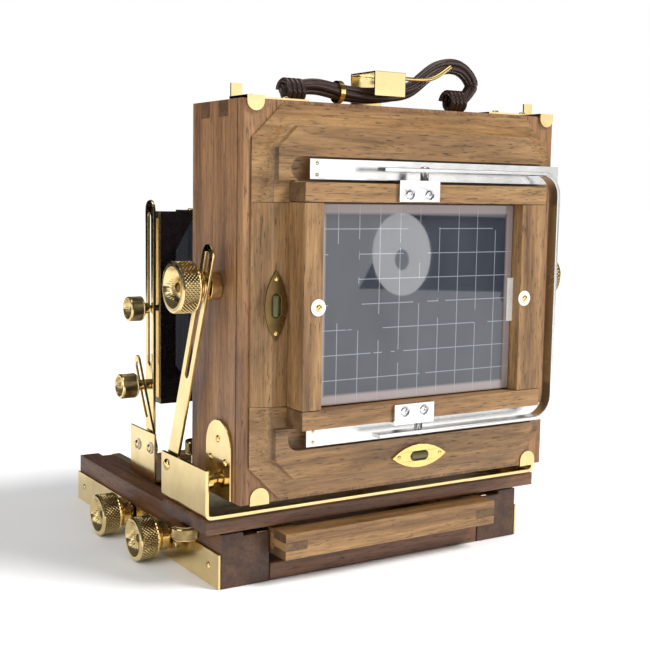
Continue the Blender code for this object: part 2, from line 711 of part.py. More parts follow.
# ---------------------------------------------------------------- rear body
def make_struts():
    """The slotted arms that hold the rear body upright, and the knobs that clamp them."""
    for label, side in SIDES:
        low, high = side_span(side, STRUT_INNER, STRUT_OUTER)
        ends = (along(STRUT_PIVOT, 0.0), along(STRUT_PIVOT, STRUT_LENGTH))
        slot_end = STRUT_LENGTH + STRUT_WIDTH / 2 - SLOT_END_WALL - SLOT_WIDTH / 2
        slot = (along(STRUT_PIVOT, STRUT_SLOT_START), along(STRUT_PIVOT, slot_end))
        loops = [stadium(*ends, STRUT_WIDTH / 2, 8), stadium(*slot, SLOT_WIDTH / 2)]
        strut = sheet("rear_strut_" + label, loops, low, high, "YZ")
        finish(strut, BRASS, "rear_strut_%s_arm" % label)

        stud_end = BODY_SIDE + GAP + BOSS_LENGTH + 0.0004
        collar_top = STRUT_OUTER + GAP + TILT_COLLAR_LENGTH
        depth = collar_top - stud_end
        profile = [
            (0.0, 0.0),
            (TILT_COLLAR_RADIUS - 0.0005, 0.0),
            (TILT_COLLAR_RADIUS, -0.0005),
            (TILT_COLLAR_RADIUS, -TILT_COLLAR_LENGTH),
            (STUD_RADIUS, -TILT_COLLAR_LENGTH),
            (STUD_RADIUS, -depth),
            (0.0, -depth),
        ]
        collar = turned("tilt_collar_" + label, profile)
        collar.rotation_euler = (0, side * math.pi / 2, 0)
        collar.location = (side * collar_top, BOSS.y, BOSS.z)
        finish(collar, BRASS, "tilt_slider_" + label)
        knob = side_knob(
            "tilt_knob_" + label,
            side,
            collar_top + GAP,
            BOSS.y,
            BOSS.z,
            knob_profile(TILT_KNOB_RADIUS, TILT_KNOB_LENGTH, 0.0062, 0.0046, 0.0058),
        )
        finish(knob, BRASS, "tilt_knob_turn_" + label)


BOSS_LENGTH = STRUT_INNER - BODY_SIDE - GAP - 0.0007


def make_rear_body():
    """The square body, and the brass on its sides."""
    outer = rectangle(-BODY_SIDE, BODY_SIDE, BODY_BOTTOM, BODY_TOP)
    inside = BODY_SIDE - BODY_WALL
    inner = rectangle(-inside, inside, BODY_BOTTOM + BODY_WALL, BODY_TOP - BODY_WALL)
    shell = sheet("body_box", [outer, inner], BODY_REAR_Y + GAP, BODY_FRONT_Y, "XZ")
    finish(shell, WALNUT, "rear_standard")
    middle = TILT_AXIS.y - 0.0025
    half = HINGE_PLATE_WIDTH / 2
    low_z = BODY_BOTTOM + 0.0006
    crown = HINGE_PLATE_HEIGHT - half
    loop = [(middle - half, low_z), (middle + half, low_z)]
    loop += arc((middle, low_z + crown), half, 0, 180, 12)
    for label, side in SIDES:
        low, high = side_span(side, BODY_SIDE + GAP, HINGE_PLATE_OUTER)
        plate = sheet("hinge_plate_" + label, [loop], low, high, "YZ")
        finish(plate, BRASS, "rear_standard")
        boss = rod_along_x(
            "tilt_boss_" + label,
            BOSS_RADIUS,
            side * (BODY_SIDE + GAP),
            side * (BODY_SIDE + GAP + BOSS_LENGTH),
            BOSS.y,
            BOSS.z,
        )
        finish(boss, WALNUT, "rear_standard")


def make_back():
    """The removable back: a square plate, an eight-sided raised layer and the film holder's channel."""
    panel = box(
        "back_panel",
        (-BODY_SIDE, BACK_REAR_Y, BODY_BOTTOM),
        (BODY_SIDE, BODY_REAR_Y, BODY_TOP),
    )
    half_x = BODY_SIDE - BACK_SIDE_STEP
    half_z = BODY_HEIGHT / 2 - BACK_TOP_STEP
    leg = BACK_CHAMFER
    corners = [(half_x, half_z - leg), (half_x - leg, half_z)]
    loop = [(x, BODY_MIDDLE + z) for x, z in corners]
    loop += [(-x, BODY_MIDDLE + z) for x, z in corners[::-1]]
    loop += [(-x, BODY_MIDDLE - z) for x, z in corners]
    loop += [(x, BODY_MIDDLE - z) for x, z in corners[::-1]]
    raised = meshed(
        sheet("back_raised", [loop], RAIL_FACE_Y, BACK_REAR_Y + 0.001, "XZ", CUTTERS)
    )
    boolean(panel, raised, "UNION")
    window_x, window_z = FILM_WINDOW[0] / 2, FILM_WINDOW[1] / 2
    cut_box(
        panel,
        (SCREEN_OFFSET_X - window_x, RAIL_FACE_Y - 0.001, BODY_MIDDLE - window_z),
        (SCREEN_OFFSET_X + window_x, BODY_REAR_Y + 0.001, BODY_MIDDLE + window_z),
    )
    half = HOLDER_CHANNEL / 2
    cut_box(
        panel,
        (-BODY_SIDE - 0.001, RAIL_FACE_Y - 0.001, BODY_MIDDLE - half),
        (BODY_SIDE + 0.001, CHANNEL_FACE_Y, BODY_MIDDLE + half),
    )
    for side in (-1, 1):
        low, high = side_span(side, half - 0.001, half + SPRING_SLOT_HEIGHT)
        cut_box(
            panel,
            (SPRING_SLOT_INSET - BODY_SIDE, RAIL_FACE_Y - 0.001, BODY_MIDDLE + low),
            (BODY_SIDE + 0.001, RAIL_FACE_Y + SPRING_SLOT_DEPTH, BODY_MIDDLE + high),
        )
    finish(panel, WALNUT, "rear_standard")


def make_levels():
    long_window, short_window = LEVEL_WINDOW[0] / 2, LEVEL_WINDOW[1] / 2
    places = (
        ("side", (SIDE_LEVEL_INSET - BODY_SIDE, BODY_MIDDLE), CHANNEL_FACE_Y, True),
        ("bottom", (BOTTOM_LEVEL_X, BOTTOM_LEVEL_Z), RAIL_FACE_Y, False),
    )
    for label, middle, face, upright in places:
        reach = (0.0, long_window - short_window) if upright else (long_window - short_window, 0.0)
        first = (middle[0] - reach[0], middle[1] - reach[1])
        last = (middle[0] + reach[0], middle[1] + reach[1])
        loops = [lens_outline(middle, *LEVEL_SIZE, upright), stadium(first, last, short_window)]
        plate = sheet("level_" + label, loops, face - GAP - LEVEL_THICKNESS, face - GAP, "XZ")
        finish(plate, BRASS, "rear_standard")


def make_screen():
    """The focusing screen in its frame, with its brackets, leaf springs and bail."""
    half_x, half_z = SCREEN_FRAME[0] / 2, SCREEN_FRAME[1] / 2
    frame = box(
        "screen_frame",
        (-half_x, SCREEN_REAR_Y, BODY_MIDDLE - half_z),
        (half_x, SCREEN_FRONT_Y, BODY_MIDDLE + half_z),
    )
    glass_x, glass_z = SCREEN_GLASS[0] / 2, SCREEN_GLASS[1] / 2
    glass_rear = SCREEN_REAR_Y + SCREEN_RECESS
    seat = glass_rear + GLASS_THICKNESS + GAP
    for reach, front in ((GAP, seat), (-SCREEN_LEDGE, SCREEN_FRONT_Y + 0.001)):
        cut_box(
            frame,
            (SCREEN_OFFSET_X - glass_x - reach, SCREEN_REAR_Y - 0.001, BODY_MIDDLE - glass_z - reach),
            (SCREEN_OFFSET_X + glass_x + reach, front, BODY_MIDDLE + glass_z + reach),
        )
    finish(frame, WALNUT, "focusing_screen")
    glass = box(
        "ground_glass",
        (SCREEN_OFFSET_X - glass_x, glass_rear, BODY_MIDDLE - glass_z),
        (SCREEN_OFFSET_X + glass_x, glass_rear + GLASS_THICKNESS, BODY_MIDDLE + glass_z),
    )
    finish(glass, GLASS, "focusing_screen")
    arm = BAIL_HALF_HEIGHT - BAIL_STRAP
    for label, side in (("top", 1), ("bottom", -1)):
        flange_low, flange_high = side_span(side, half_z + GAP, half_z + GAP + 0.0014)
        lip_low, lip_high = side_span(side, half_z - 0.0090, half_z + GAP + 0.0014)
        bracket = box(
            "screen_bracket_" + label,
            (SCREEN_BRACKET[0], SCREEN_REAR_Y - GAP - 0.0014, BODY_MIDDLE + lip_low),
            (SCREEN_BRACKET[1], SCREEN_REAR_Y - GAP, BODY_MIDDLE + lip_high),
        )
        add_box(
            bracket,
            (SCREEN_BRACKET[0], SCREEN_REAR_Y - GAP - 0.0010, BODY_MIDDLE + flange_low),
            (SCREEN_BRACKET[1], RAIL_FACE_Y - 0.0030, BODY_MIDDLE + flange_high),
        )
        pin_low, pin_high = side_span(side, half_z + 0.0010, arm - GAP)
        pin = new_object(
            "bracket_pin_" + label, rod_mesh("pin", 0.0022, pin_high - pin_low, 12), CUTTERS
        )
        pin.location = (BAIL_PIVOT.x, BAIL_PIVOT.y, BODY_MIDDLE + (pin_low + pin_high) / 2)
        boolean(bracket, pin, "UNION")
        finish(bracket, STEEL, "focusing_screen")

        z_low, z_high = side_span(side, half_z + 0.0015, half_z + 0.0015 + SPRING_HEIGHT)
        leaf = box(
            "leaf_spring_" + label,
            (SPRING_LEFT_INSET - BODY_SIDE, RAIL_FACE_Y + 0.0005, BODY_MIDDLE + z_low),
            (BODY_SIDE - SPRING_RIGHT_INSET, RAIL_FACE_Y + 0.0005 + SPRING_THICKNESS, BODY_MIDDLE + z_high),
        )
        finish(leaf, STEEL, "rear_standard")
    make_bail()


def make_bail():
    outer, inner = BAIL_RADIUS, BAIL_RADIUS - BAIL_STRAP
    corner_x = BAIL_RIGHT - BAIL_RADIUS
    corner_z = BAIL_HALF_HEIGHT - BAIL_RADIUS
    outside = [(BAIL_LEFT, BAIL_HALF_HEIGHT)]
    outside += arc((corner_x, corner_z), outer, 90, 0, 6)
    outside += arc((corner_x, -corner_z), outer, 0, -90, 6)
    outside += [(BAIL_LEFT, -BAIL_HALF_HEIGHT)]
    inside = [(BAIL_LEFT, -BAIL_HALF_HEIGHT + BAIL_STRAP)]
    inside += arc((corner_x, -corner_z), inner, -90, 0, 6)
    inside += arc((corner_x, corner_z), inner, 0, 90, 6)
    inside += [(BAIL_LEFT, BAIL_HALF_HEIGHT - BAIL_STRAP)]
    loop = [(x, BODY_MIDDLE + z) for x, z in (outside + inside)[::-1]]
    bail = sheet("bail", [loop], SCREEN_REAR_Y, SCREEN_REAR_Y + BAIL_DEPTH, "XZ")
    finish(bail, STEEL, "bail_lever")


def make_latches():
    """The sliding latches that hold the back's top corners, and the catch for the folded bed."""
    top = BODY_TOP + GAP
    thickness = PLATE_THICKNESS
    for label, side in SIDES:
        outer = BODY_SIDE - 0.0012
        x_low, x_high = side_span(side, outer - LATCH_LENGTH, outer)
        tab_middle = outer - LATCH_TAB_RADIUS
        tab_low, tab_high = side_span(side, tab_middle - LATCH_TAB_RADIUS, outer)
        face = BACK_REAR_Y - GAP
        latch = box(
            "back_latch_" + label,
            (x_low, BODY_REAR_Y + 0.0010, top),
            (x_high, BODY_REAR_Y + 0.0010 + LATCH_WIDTH, top + thickness),
        )
        tab_top = top + thickness * 0.98
        add_box(latch, (tab_low, face - thickness, top), (tab_high, BODY_REAR_Y + 0.0020, tab_top))
        drop = BODY_TOP - LATCH_TAB_DROP + LATCH_TAB_RADIUS
        loop = arc((side * tab_middle, drop), LATCH_TAB_RADIUS, 180, 360, 10)
        loop += [(side * tab_middle + LATCH_TAB_RADIUS, top + thickness / 2)]
        loop += [(side * tab_middle - LATCH_TAB_RADIUS, top + thickness / 2)]
        tab = meshed(sheet("tab_" + label, [loop], face - thickness * 0.98, face, "XZ", CUTTERS))
        boolean(latch, tab, "UNION")
        finger_low, finger_high = side_span(side, outer - LATCH_FINGER, outer - 0.0004)
        finger_y = BODY_REAR_Y + 0.0010 + LATCH_WIDTH
        add_box(
            latch,
            (finger_low, finger_y - 0.0011, top + 0.0002),
            (finger_high, finger_y - 0.0001, top + thickness + LATCH_FINGER),
        )
        finish(latch, BRASS, "latch_slider_" + label)

    rear, front = CATCH_REAR, CATCH_REAR + CATCH_DEPTH
    low, high = top, top + CATCH_HEIGHT
    t = thickness
    loop = [
        (rear, low + CATCH_LIP_HEIGHT),
        (rear + t, low + CATCH_LIP_HEIGHT),
        (rear + t, high - t),
        (front - t, high - t),
        (front - t, low + t),
        (front - CATCH_FOOT, low + t),
        (front - CATCH_FOOT, low),
        (front, low),
        (front, high),
        (rear, high),
    ]
    catch = sheet("closing_catch", [loop], -CATCH_WIDTH / 2, CATCH_WIDTH / 2, "YZ")
    finish(catch, BRASS, "catch_lever")


def smooth_route(points, steps):
    """A Catmull-Rom curve through points, with this many steps between each two."""
    ends = [points[0] * 2 - points[1]] + points + [points[-1] * 2 - points[-2]]
    route = []
    for i in range(1, len(ends) - 2):
        a, b, c, d = ends[i - 1 : i + 3]
        for k in range(steps):
            t = k / steps
            part = 2 * b + (c - a) * t + (2 * a - 5 * b + 4 * c - d) * t * t
            route.append((part + (3 * b - a - 3 * c + d) * t ** 3) / 2)
    return route + [points[-1]]


def make_handle():
    """The bundle of leather cords tied along the top, as one plain body."""
    y = CATCH_REAR + CATCH_DEPTH / 2
    base = BODY_TOP + 0.0016 + HANDLE_RADIUS
    route = [
        Vector((-0.0620, y, base)),
        Vector((-0.0400, y, base + 0.0015)),
        Vector((-0.0200, y, base + 0.0022)),
        Vector((0.0, y, base + 0.0022)),
        Vector((0.0200, y, base + 0.0060)),
        Vector((0.0400, y, base + 0.0200)),
        Vector((0.0590, y, base + 0.0210)),
        Vector((0.0660, y, base + 0.0110)),
        Vector((0.0560, y, base + 0.0010)),
    ]
    points = smooth_route(route, 3)
    curve = bpy.data.curves.new("handle_cords", "CURVE")
    curve.dimensions = "3D"
    curve.bevel_depth = HANDLE_RADIUS
    curve.bevel_resolution = 2
    curve.use_fill_caps = True
    spline = curve.splines.new("POLY")
    spline.points.add(len(points) - 1)
    for point, place in zip(spline.points, points):
        point.co = (*place, 1.0)
    finish(new_object("handle_cords", curve), LEATHER, "rear_standard")


# ---------------------------------------------------------------- front standard
def make_front_bracket():
    outer = FRONT_BRACKET_HALF_WIDTH
    t = FRONT_BRACKET_THICKNESS
    top = FRONT_FOOT + FRONT_BRACKET_HEIGHT
    loop = [
        (-outer, FRONT_FOOT),
        (outer, FRONT_FOOT),
        (outer, top),
        (outer - t, top),
        (outer - t, FRONT_FOOT + t),
        (-outer + t, FRONT_FOOT + t),
        (-outer + t, top),
        (-outer, top),
    ]
    rear = LINK_PIVOT.y - 0.0060
    bracket = meshed(sheet("front_bracket", [loop], rear, rear + FRONT_BRACKET_LENGTH, "XZ"))
    for side in (-1, 1):
        inner_ends = ((POST_OUTER, FRONT_PIVOT), (LINK_OUTER, LINK_PIVOT))
        for inner, place in inner_ends:
            ends = (side * (inner + GAP), side * (outer - t / 2))
            pin = rod_along_x("front_pin", PIN_RADIUS, *ends, place.y, place.z, CUTTERS)
            boolean(bracket, pin, "UNION")
    finish(bracket, BRASS, "focus_carriage")


def make_front_standard():
    for label, side in SIDES:
        low, high = side_span(side, POST_INNER, POST_OUTER)
        half = POST_WIDTH / 2
        foot = FRONT_PIVOT.z - half
        ends = ((FRONT_Y, foot), (FRONT_Y, POST_TOP - half))
        slot = ((FRONT_Y, POST_SLOT[0]), (FRONT_Y, POST_SLOT[1] - SLOT_WIDTH / 2))
        post = sheet(
            "front_post_" + label, [stadium(*ends, half), stadium(*slot, SLOT_WIDTH / 2)], low, high, "YZ"
        )
        finish(post, BRASS, "front_standard")

        low, high = side_span(side, LINK_INNER, LINK_OUTER)
        lean = (LINK_KNOB - LINK_PIVOT).normalized()
        places = [LINK_PIVOT + lean * d for d in (0.0, LINK_LENGTH, LINK_SLOT_START, LINK_LENGTH - 0.0025)]
        start, end, slot_start, slot_end = [(p.y, p.z) for p in places]
        loops = [stadium(start, end, LINK_WIDTH / 2), stadium(slot_start, slot_end, SLOT_WIDTH / 2)]
        link = sheet("front_link_" + label, loops, low, high, "YZ")
        finish(link, BRASS, "front_link_%s_arm" % label)

        start = POST_OUTER + GAP
        stud = LINK_OUTER + GAP - start
        profile = clamp_knob(LINK_NECK, LINK_KNOB_LENGTH, stud)
        clamp = side_knob("front_tilt_knob_" + label, side, start, LINK_KNOB.y, LINK_KNOB.z, profile)
        finish(clamp, BRASS, "front_tilt_knob_turn_" + label)
        profile = clamp_knob(RISE_NECK, RISE_KNOB_LENGTH)
        rise = side_knob("rise_knob_" + label, side, start, FRONT_Y, RISE_KNOB_Z, profile)
        finish(rise, BRASS, "rise_knob_turn_" + label)


def clamp_knob(neck_length, length, stud=0.0):
    """The profile of a small knob, on its own stud if it has one."""
    neck = stud + neck_length
    top = neck + length
    radius = FRONT_KNOB_RADIUS
    return [
        (0.0, top - 0.0030),
        (radius * 0.55, top - 0.0030),
        (radius * 0.72, top - 0.0004),
        (radius - 0.0005, top),
        (radius, top - 0.0005),
        (radius, neck + 0.0005),
        (radius - 0.0005, neck),
        (FRONT_NECK_RADIUS, neck - 0.0012),
        (FRONT_NECK_RADIUS, stud),
        *([(STUD_RADIUS, stud), (STUD_RADIUS, 0.0)] if stud else []),
        (0.0, 0.0),
    ]


def make_lens_frame():
    half_x, half_z = LENS_FRAME_SIDE, LENS_FRAME_HEIGHT / 2
    opening = LENS_OPENING / 2
    loops = [
        rectangle(-half_x, half_x, LENS_MIDDLE - half_z, LENS_MIDDLE + half_z),
        rectangle(-opening, opening, LENS_MIDDLE - opening, LENS_MIDDLE + opening),
    ]
    rear = LENS_FRAME_FRONT - LENS_FRAME_THICKNESS
    frame = meshed(sheet("lens_frame", loops, rear, LENS_FRAME_FRONT, "XZ"))
    for _, side in SIDES:
        ends = (side * (half_x - RISE_STUD_ROOT), side * POST_OUTER)
        stud = rod_along_x("rise_stud", STUD_RADIUS, *ends, FRONT_Y, RISE_KNOB_Z, CUTTERS)
        boolean(frame, stud, "UNION")
    finish(frame, BLACK, "lens_standard")
    half = LENS_BOARD / 2
    front = LENS_FRAME_FRONT + GAP
    loops = [
        rectangle(-half, half, LENS_MIDDLE - half, LENS_MIDDLE + half),
        arc((0.0, LENS_MIDDLE), LENS_HOLE_RADIUS, 0, 350, 35),
    ]
    board = sheet("lens_board", loops, front, front + LENS_BOARD_THICKNESS, "XZ")
    finish(board, BLACK, "lens_standard")
    latch = box(
        "lens_board_latch",
        (-0.0200, front + LENS_BOARD_THICKNESS + GAP, LENS_MIDDLE + half - 0.0035),
        (0.0200, front + LENS_BOARD_THICKNESS + GAP + 0.0015, LENS_MIDDLE + half + 0.0060),
        0.0004,
    )
    finish(latch, BRASS, "board_latch")


def make_bellows():
    """A pleated tapering tube from the lens frame to the rear body."""
    rear_y = BODY_FRONT_Y - BELLOWS_INSET
    front_y = FRONT_Y - LENS_FRAME_THICKNESS / 2 - GAP
    fitting = BODY_SIDE - BODY_WALL - GAP
    flange = Vector((fitting, fitting + (BODY_HEIGHT - BODY_WIDTH) / 2))
    wide, narrow = flange - Vector(BELLOWS_REAR_INSET), Vector(BELLOWS_FRONT)
    flange_wall = max(flange - wide) + BELLOWS_PLEAT + BELLOWS_WALL
    count = 2 * BELLOWS_PLEATS
    sections = [(rear_y, flange, BODY_MIDDLE, flange_wall)]
    sections.append((rear_y + BELLOWS_FLANGE, flange, BODY_MIDDLE, flange_wall))
    for i in range(count + 1):
        share = (i + 1) / (count + 2)
        y = rear_y + BELLOWS_FLANGE + (front_y - rear_y - 2 * BELLOWS_FLANGE) * share
        fold = BELLOWS_PLEAT * (i % 2)
        half = wide.lerp(narrow, share) - Vector((fold, fold))
        sections.append((y, half, BODY_MIDDLE + (LENS_MIDDLE - BODY_MIDDLE) * share, BELLOWS_WALL))
    sections.append((front_y - BELLOWS_FLANGE, narrow, LENS_MIDDLE, BELLOWS_WALL))
    sections.append((front_y, narrow, LENS_MIDDLE, BELLOWS_WALL))
    shape = bmesh.new()
    rings = []
    for y, half, middle, wall in sections:
        ring = []
        for reach in (half, half - Vector((wall, wall))):
            corners = ((-1, -1), (1, -1), (1, 1), (-1, 1))
            ring.append([shape.verts.new((x * reach.x, y, middle + z * reach.y)) for x, z in corners])
        rings.append(ring)
    for (outer_a, inner_a), (outer_b, inner_b) in zip(rings, rings[1:]):
        for k in range(4):
            n = (k + 1) % 4
            shape.faces.new((outer_a[k], outer_b[k], outer_b[n], outer_a[n]))
            shape.faces.new((inner_a[k], inner_a[n], inner_b[n], inner_b[k]))
    for outer, inner in (rings[0], rings[-1]):
        for k in range(4):
            n = (k + 1) % 4
            shape.faces.new((outer[k], outer[n], inner[n], inner[k]))
    bmesh.ops.recalc_face_normals(shape, faces=shape.faces)
    mesh = bpy.data.meshes.new("bellows")
    shape.to_mesh(mesh)
    shape.free()
    finish(new_object("bellows", mesh), BLACK, "rear_standard")


# ---------------------------------------------------------------- assembly
def make_bodies():
    body("bed", (0, 0, 0))
    body("bed_lock", (0, LOCK_SHAFT_Y, SHAFT_Z), "bed")
    body("focus_carriage", (0, 0, FRAME_BOTTOM), "bed")
    body("focus_drive", (0, FOCUS_SHAFT_Y, SHAFT_Z), "bed")
    body("rear_carriage", (0, PLATFORM_REAR, BOARD_BOTTOM), "bed")
    body("platform_lock", PLATFORM_LOCK, "rear_carriage")
    body("swing_lock", SWING_LOCK, "rear_carriage")
    body("rear_standard", TILT_AXIS, "rear_carriage")
    for label, _ in SIDES:
        body("rear_strut_%s_arm" % label, STRUT_PIVOT, "rear_carriage")
        body("tilt_slider_" + label, BOSS, "rear_strut_%s_arm" % label)
        body("tilt_knob_turn_" + label, BOSS, "tilt_slider_" + label)
        body("latch_slider_" + label, (0, BODY_REAR_Y, BODY_TOP), "rear_standard")
    body("catch_lever", (0, CATCH_REAR + CATCH_DEPTH - CATCH_FOOT, BODY_TOP + GAP), "rear_standard")
    body("focusing_screen", (0, SCREEN_FRONT_Y, BODY_MIDDLE), "rear_standard")
    body("bail_lever", BAIL_PIVOT, "focusing_screen")
    body("front_standard", FRONT_PIVOT, "focus_carriage")
    body("lens_standard", (0, FRONT_Y, LENS_MIDDLE), "front_standard")
    body("board_latch", (0, LENS_FRAME_FRONT, LENS_MIDDLE), "lens_standard")
    for label, _ in SIDES:
        body("front_link_%s_arm" % label, LINK_PIVOT, "focus_carriage")
        body("front_tilt_knob_turn_" + label, LINK_KNOB, "front_standard")
        body("rise_knob_turn_" + label, (0, FRONT_Y, RISE_KNOB_Z), "lens_standard")


def shade_round_pieces():
    """Round pieces are smooth between their sharp edges."""
    for obj in PARTS.objects:
        if obj.type == "MESH":
            obj.data.shade_smooth()
            obj.data.set_sharp_from_angle(angle=math.radians(35))


def main():
    clear_scene()
    make_bodies()
    make_bed()
    make_bed_lock()
    make_focus_frame()
    make_focus_drive()
    make_platform()
    make_platform_locks()
    make_struts()
    make_rear_body()
    make_back()
    make_levels()
    make_screen()
    make_latches()
    make_handle()
    make_front_bracket()
    make_front_standard()
    make_lens_frame()
    make_bellows()
    shade_round_pieces()


main()
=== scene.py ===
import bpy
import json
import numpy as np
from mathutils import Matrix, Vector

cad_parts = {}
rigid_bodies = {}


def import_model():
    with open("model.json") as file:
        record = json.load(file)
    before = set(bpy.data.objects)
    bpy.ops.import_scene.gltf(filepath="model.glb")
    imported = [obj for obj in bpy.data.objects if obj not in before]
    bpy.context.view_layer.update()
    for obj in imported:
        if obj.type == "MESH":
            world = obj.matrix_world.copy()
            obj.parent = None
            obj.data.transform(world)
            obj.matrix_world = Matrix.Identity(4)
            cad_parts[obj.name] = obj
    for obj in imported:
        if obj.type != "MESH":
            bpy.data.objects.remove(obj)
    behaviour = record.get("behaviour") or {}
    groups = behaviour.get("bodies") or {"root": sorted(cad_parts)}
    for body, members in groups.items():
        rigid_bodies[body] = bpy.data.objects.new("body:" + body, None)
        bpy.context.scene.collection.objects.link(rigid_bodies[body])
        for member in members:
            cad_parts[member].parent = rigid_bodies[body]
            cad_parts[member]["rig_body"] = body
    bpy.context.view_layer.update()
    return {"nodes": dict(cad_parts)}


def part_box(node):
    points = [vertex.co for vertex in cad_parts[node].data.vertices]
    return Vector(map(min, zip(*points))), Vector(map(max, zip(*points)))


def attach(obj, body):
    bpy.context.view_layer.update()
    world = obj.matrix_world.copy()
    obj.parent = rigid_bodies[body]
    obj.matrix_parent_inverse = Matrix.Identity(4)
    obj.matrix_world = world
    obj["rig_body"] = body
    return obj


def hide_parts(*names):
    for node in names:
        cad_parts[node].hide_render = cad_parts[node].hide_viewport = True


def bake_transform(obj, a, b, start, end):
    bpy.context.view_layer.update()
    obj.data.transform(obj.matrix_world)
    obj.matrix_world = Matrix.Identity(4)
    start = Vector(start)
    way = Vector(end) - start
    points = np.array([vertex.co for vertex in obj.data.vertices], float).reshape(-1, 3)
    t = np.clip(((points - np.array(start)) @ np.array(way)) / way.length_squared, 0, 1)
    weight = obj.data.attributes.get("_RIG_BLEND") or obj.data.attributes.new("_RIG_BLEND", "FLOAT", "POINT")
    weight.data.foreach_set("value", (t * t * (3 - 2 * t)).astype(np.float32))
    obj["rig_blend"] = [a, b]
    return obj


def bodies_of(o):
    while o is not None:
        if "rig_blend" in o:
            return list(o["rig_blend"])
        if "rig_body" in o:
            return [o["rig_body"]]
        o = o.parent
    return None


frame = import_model()

import json
import math

import bmesh
import bpy
from mathutils import Matrix, Vector

NODES = frame["nodes"]
SIDES = (("left", -1), ("right", 1))
JOINT_LINE = 0.00012  # the dark line where two boards meet
SHARP_DEGREES = 38  # an edge that turns more than this stays crisp
KNURL_DEPTH = 0.36  # of the knurling's pitch
KNURL_PAINTED_SHADE = 0.30  # of the pitch: a groove this deep gets the full painted shade
GRID_PITCH = 0.0127  # half an inch, ruled on the glass
TO_REAR = (0, -1, 0)
HIDDEN = bpy.data.collections.new("cutters")
bpy.context.scene.collection.children.link(HIDDEN)


# ---- materials
class Look:
    """One material, with short calls for the nodes that it is made of."""

    def __init__(self, name, **sockets):
        self.material = bpy.data.materials.new(name)
        self.material.use_nodes = True
        self.nodes = self.material.node_tree.nodes
        self.links = self.material.node_tree.links
        self.shader = self.nodes["Principled BSDF"]
        for key, value in sockets.items():
            self.shader.inputs[key.replace("_", " ")].default_value = value
        self.place = self.nodes.new("ShaderNodeTexCoord").outputs["Object"]

    def put(self, value, socket):
        if isinstance(value, bpy.types.NodeSocket):
            self.links.new(value, socket)
        else:
            socket.default_value = value

    def scaled(self, scale, shift=(0.0, 0.0, 0.0)):
        node = self.nodes.new("ShaderNodeMapping")
        self.put(self.place, node.inputs["Vector"])
        node.inputs["Scale"].default_value = scale
        node.inputs["Location"].default_value = shift
        return node.outputs["Vector"]

    def noise(self, place, scale, detail=3.0, roughness=0.55, distortion=0.0):
        node = self.nodes.new("ShaderNodeTexNoise")
        self.put(place, node.inputs["Vector"])
        for key, value in zip(("Scale", "Detail", "Roughness", "Distortion"), (scale, detail, roughness, distortion)):
            node.inputs[key].default_value = value
        return node.outputs["Fac"]

    def cells(self, place, scale):
        node = self.nodes.new("ShaderNodeTexVoronoi")
        self.put(place, node.inputs["Vector"])
        node.inputs["Scale"].default_value = scale
        return node.outputs["Distance"]

    def ramp(self, factor, *stops):
        node = self.nodes.new("ShaderNodeValToRGB")
        self.put(factor, node.inputs["Fac"])
        elements = node.color_ramp.elements
        while len(elements) < len(stops):
            elements.new(0.5)
        for element, (position, color) in zip(elements, stops):
            element.position = position
            grey = isinstance(color, float)
            element.color = (color, color, color, 1.0) if grey else (*color, 1.0)
        return node.outputs["Color"]

    def mix(self, factor, first, second, blend="MIX"):
        node = self.nodes.new("ShaderNodeMixRGB")
        node.blend_type = blend
        self.put(factor, node.inputs["Fac"])
        for value, key in ((first, "Color1"), (second, "Color2")):
            self.put((*value, 1.0) if isinstance(value, tuple) else value, node.inputs[key])
        return node.outputs["Color"]

    def sum(self, operation, first, second=0.0):
        node = self.nodes.new("ShaderNodeMath")
        node.operation = operation
        self.put(first, node.inputs[0])
        self.put(second, node.inputs[1])
        return node.outputs[0]

    def axis(self, letter):
        node = self.nodes.new("ShaderNodeSeparateXYZ")
        self.put(self.place, node.inputs[0])
        return node.outputs[letter]

    def finish(self, color=None, roughness=None, height=None, depth=0.00005, strength=1.0):
        if color is not None:
            self.put(color, self.shader.inputs["Base Color"])
        if roughness is not None:
            self.put(roughness, self.shader.inputs["Roughness"])
        if height is not None:
            bump = self.nodes.new("ShaderNodeBump")
            bump.inputs["Strength"].default_value = strength
            bump.inputs["Distance"].default_value = depth
            self.put(height, bump.inputs["Height"])
            self.put(bump.outputs["Normal"], self.shader.inputs["Normal"])
        return self.material


def wood(name, grain, dark, middle, light, seed):
    """Oiled walnut: broad figure, growth streaks and open pores drawn out along the grain."""
    look = Look(name, Coat_Weight=0.06, Coat_Roughness=0.30)
    long = [1.0, 1.0, 1.0]
    long["XYZ".index(grain)] = 0.07
    figure = look.noise(look.scaled(long, (seed, seed * 1.7, seed * 0.6)), 95.0, 4.0, 0.6, 0.6)
    streaks = look.noise(look.scaled(long, (seed * 2.1, seed, seed)), 620.0, 5.0, 0.7)
    short = [1.0 if part == 1.0 else 0.10 for part in long]
    pores = look.noise(look.scaled(short, (seed, seed, seed * 3.3)), 1500.0, 2.0, 0.5)
    body = look.ramp(figure, (0.28, dark), (0.5, middle), (0.72, light))
    shade = look.ramp(streaks, (0.32, 0.52), (0.62, 1.0))
    open_pores = look.ramp(pores, (0.60, 1.0), (0.68, 0.36))
    color = look.mix(1.0, look.mix(1.0, body, shade, "MULTIPLY"), open_pores, "MULTIPLY")
    normal = look.nodes.new("ShaderNodeSeparateXYZ")
    look.put(look.nodes.new("ShaderNodeTexCoord").outputs["Normal"], normal.inputs[0])
    end_grain = look.ramp(look.sum("ABSOLUTE", normal.outputs[grain]), (0.6, 1.0), (0.9, 0.46))
    color = look.mix(1.0, color, end_grain, "MULTIPLY")
    rough = look.ramp(streaks, (0.3, 0.56), (0.7, 0.40))
    height = look.sum("ADD", look.sum("MULTIPLY", open_pores, 0.8), look.sum("MULTIPLY", streaks, 0.3))
    return look.finish(color, rough, height, 0.00008, 0.7)


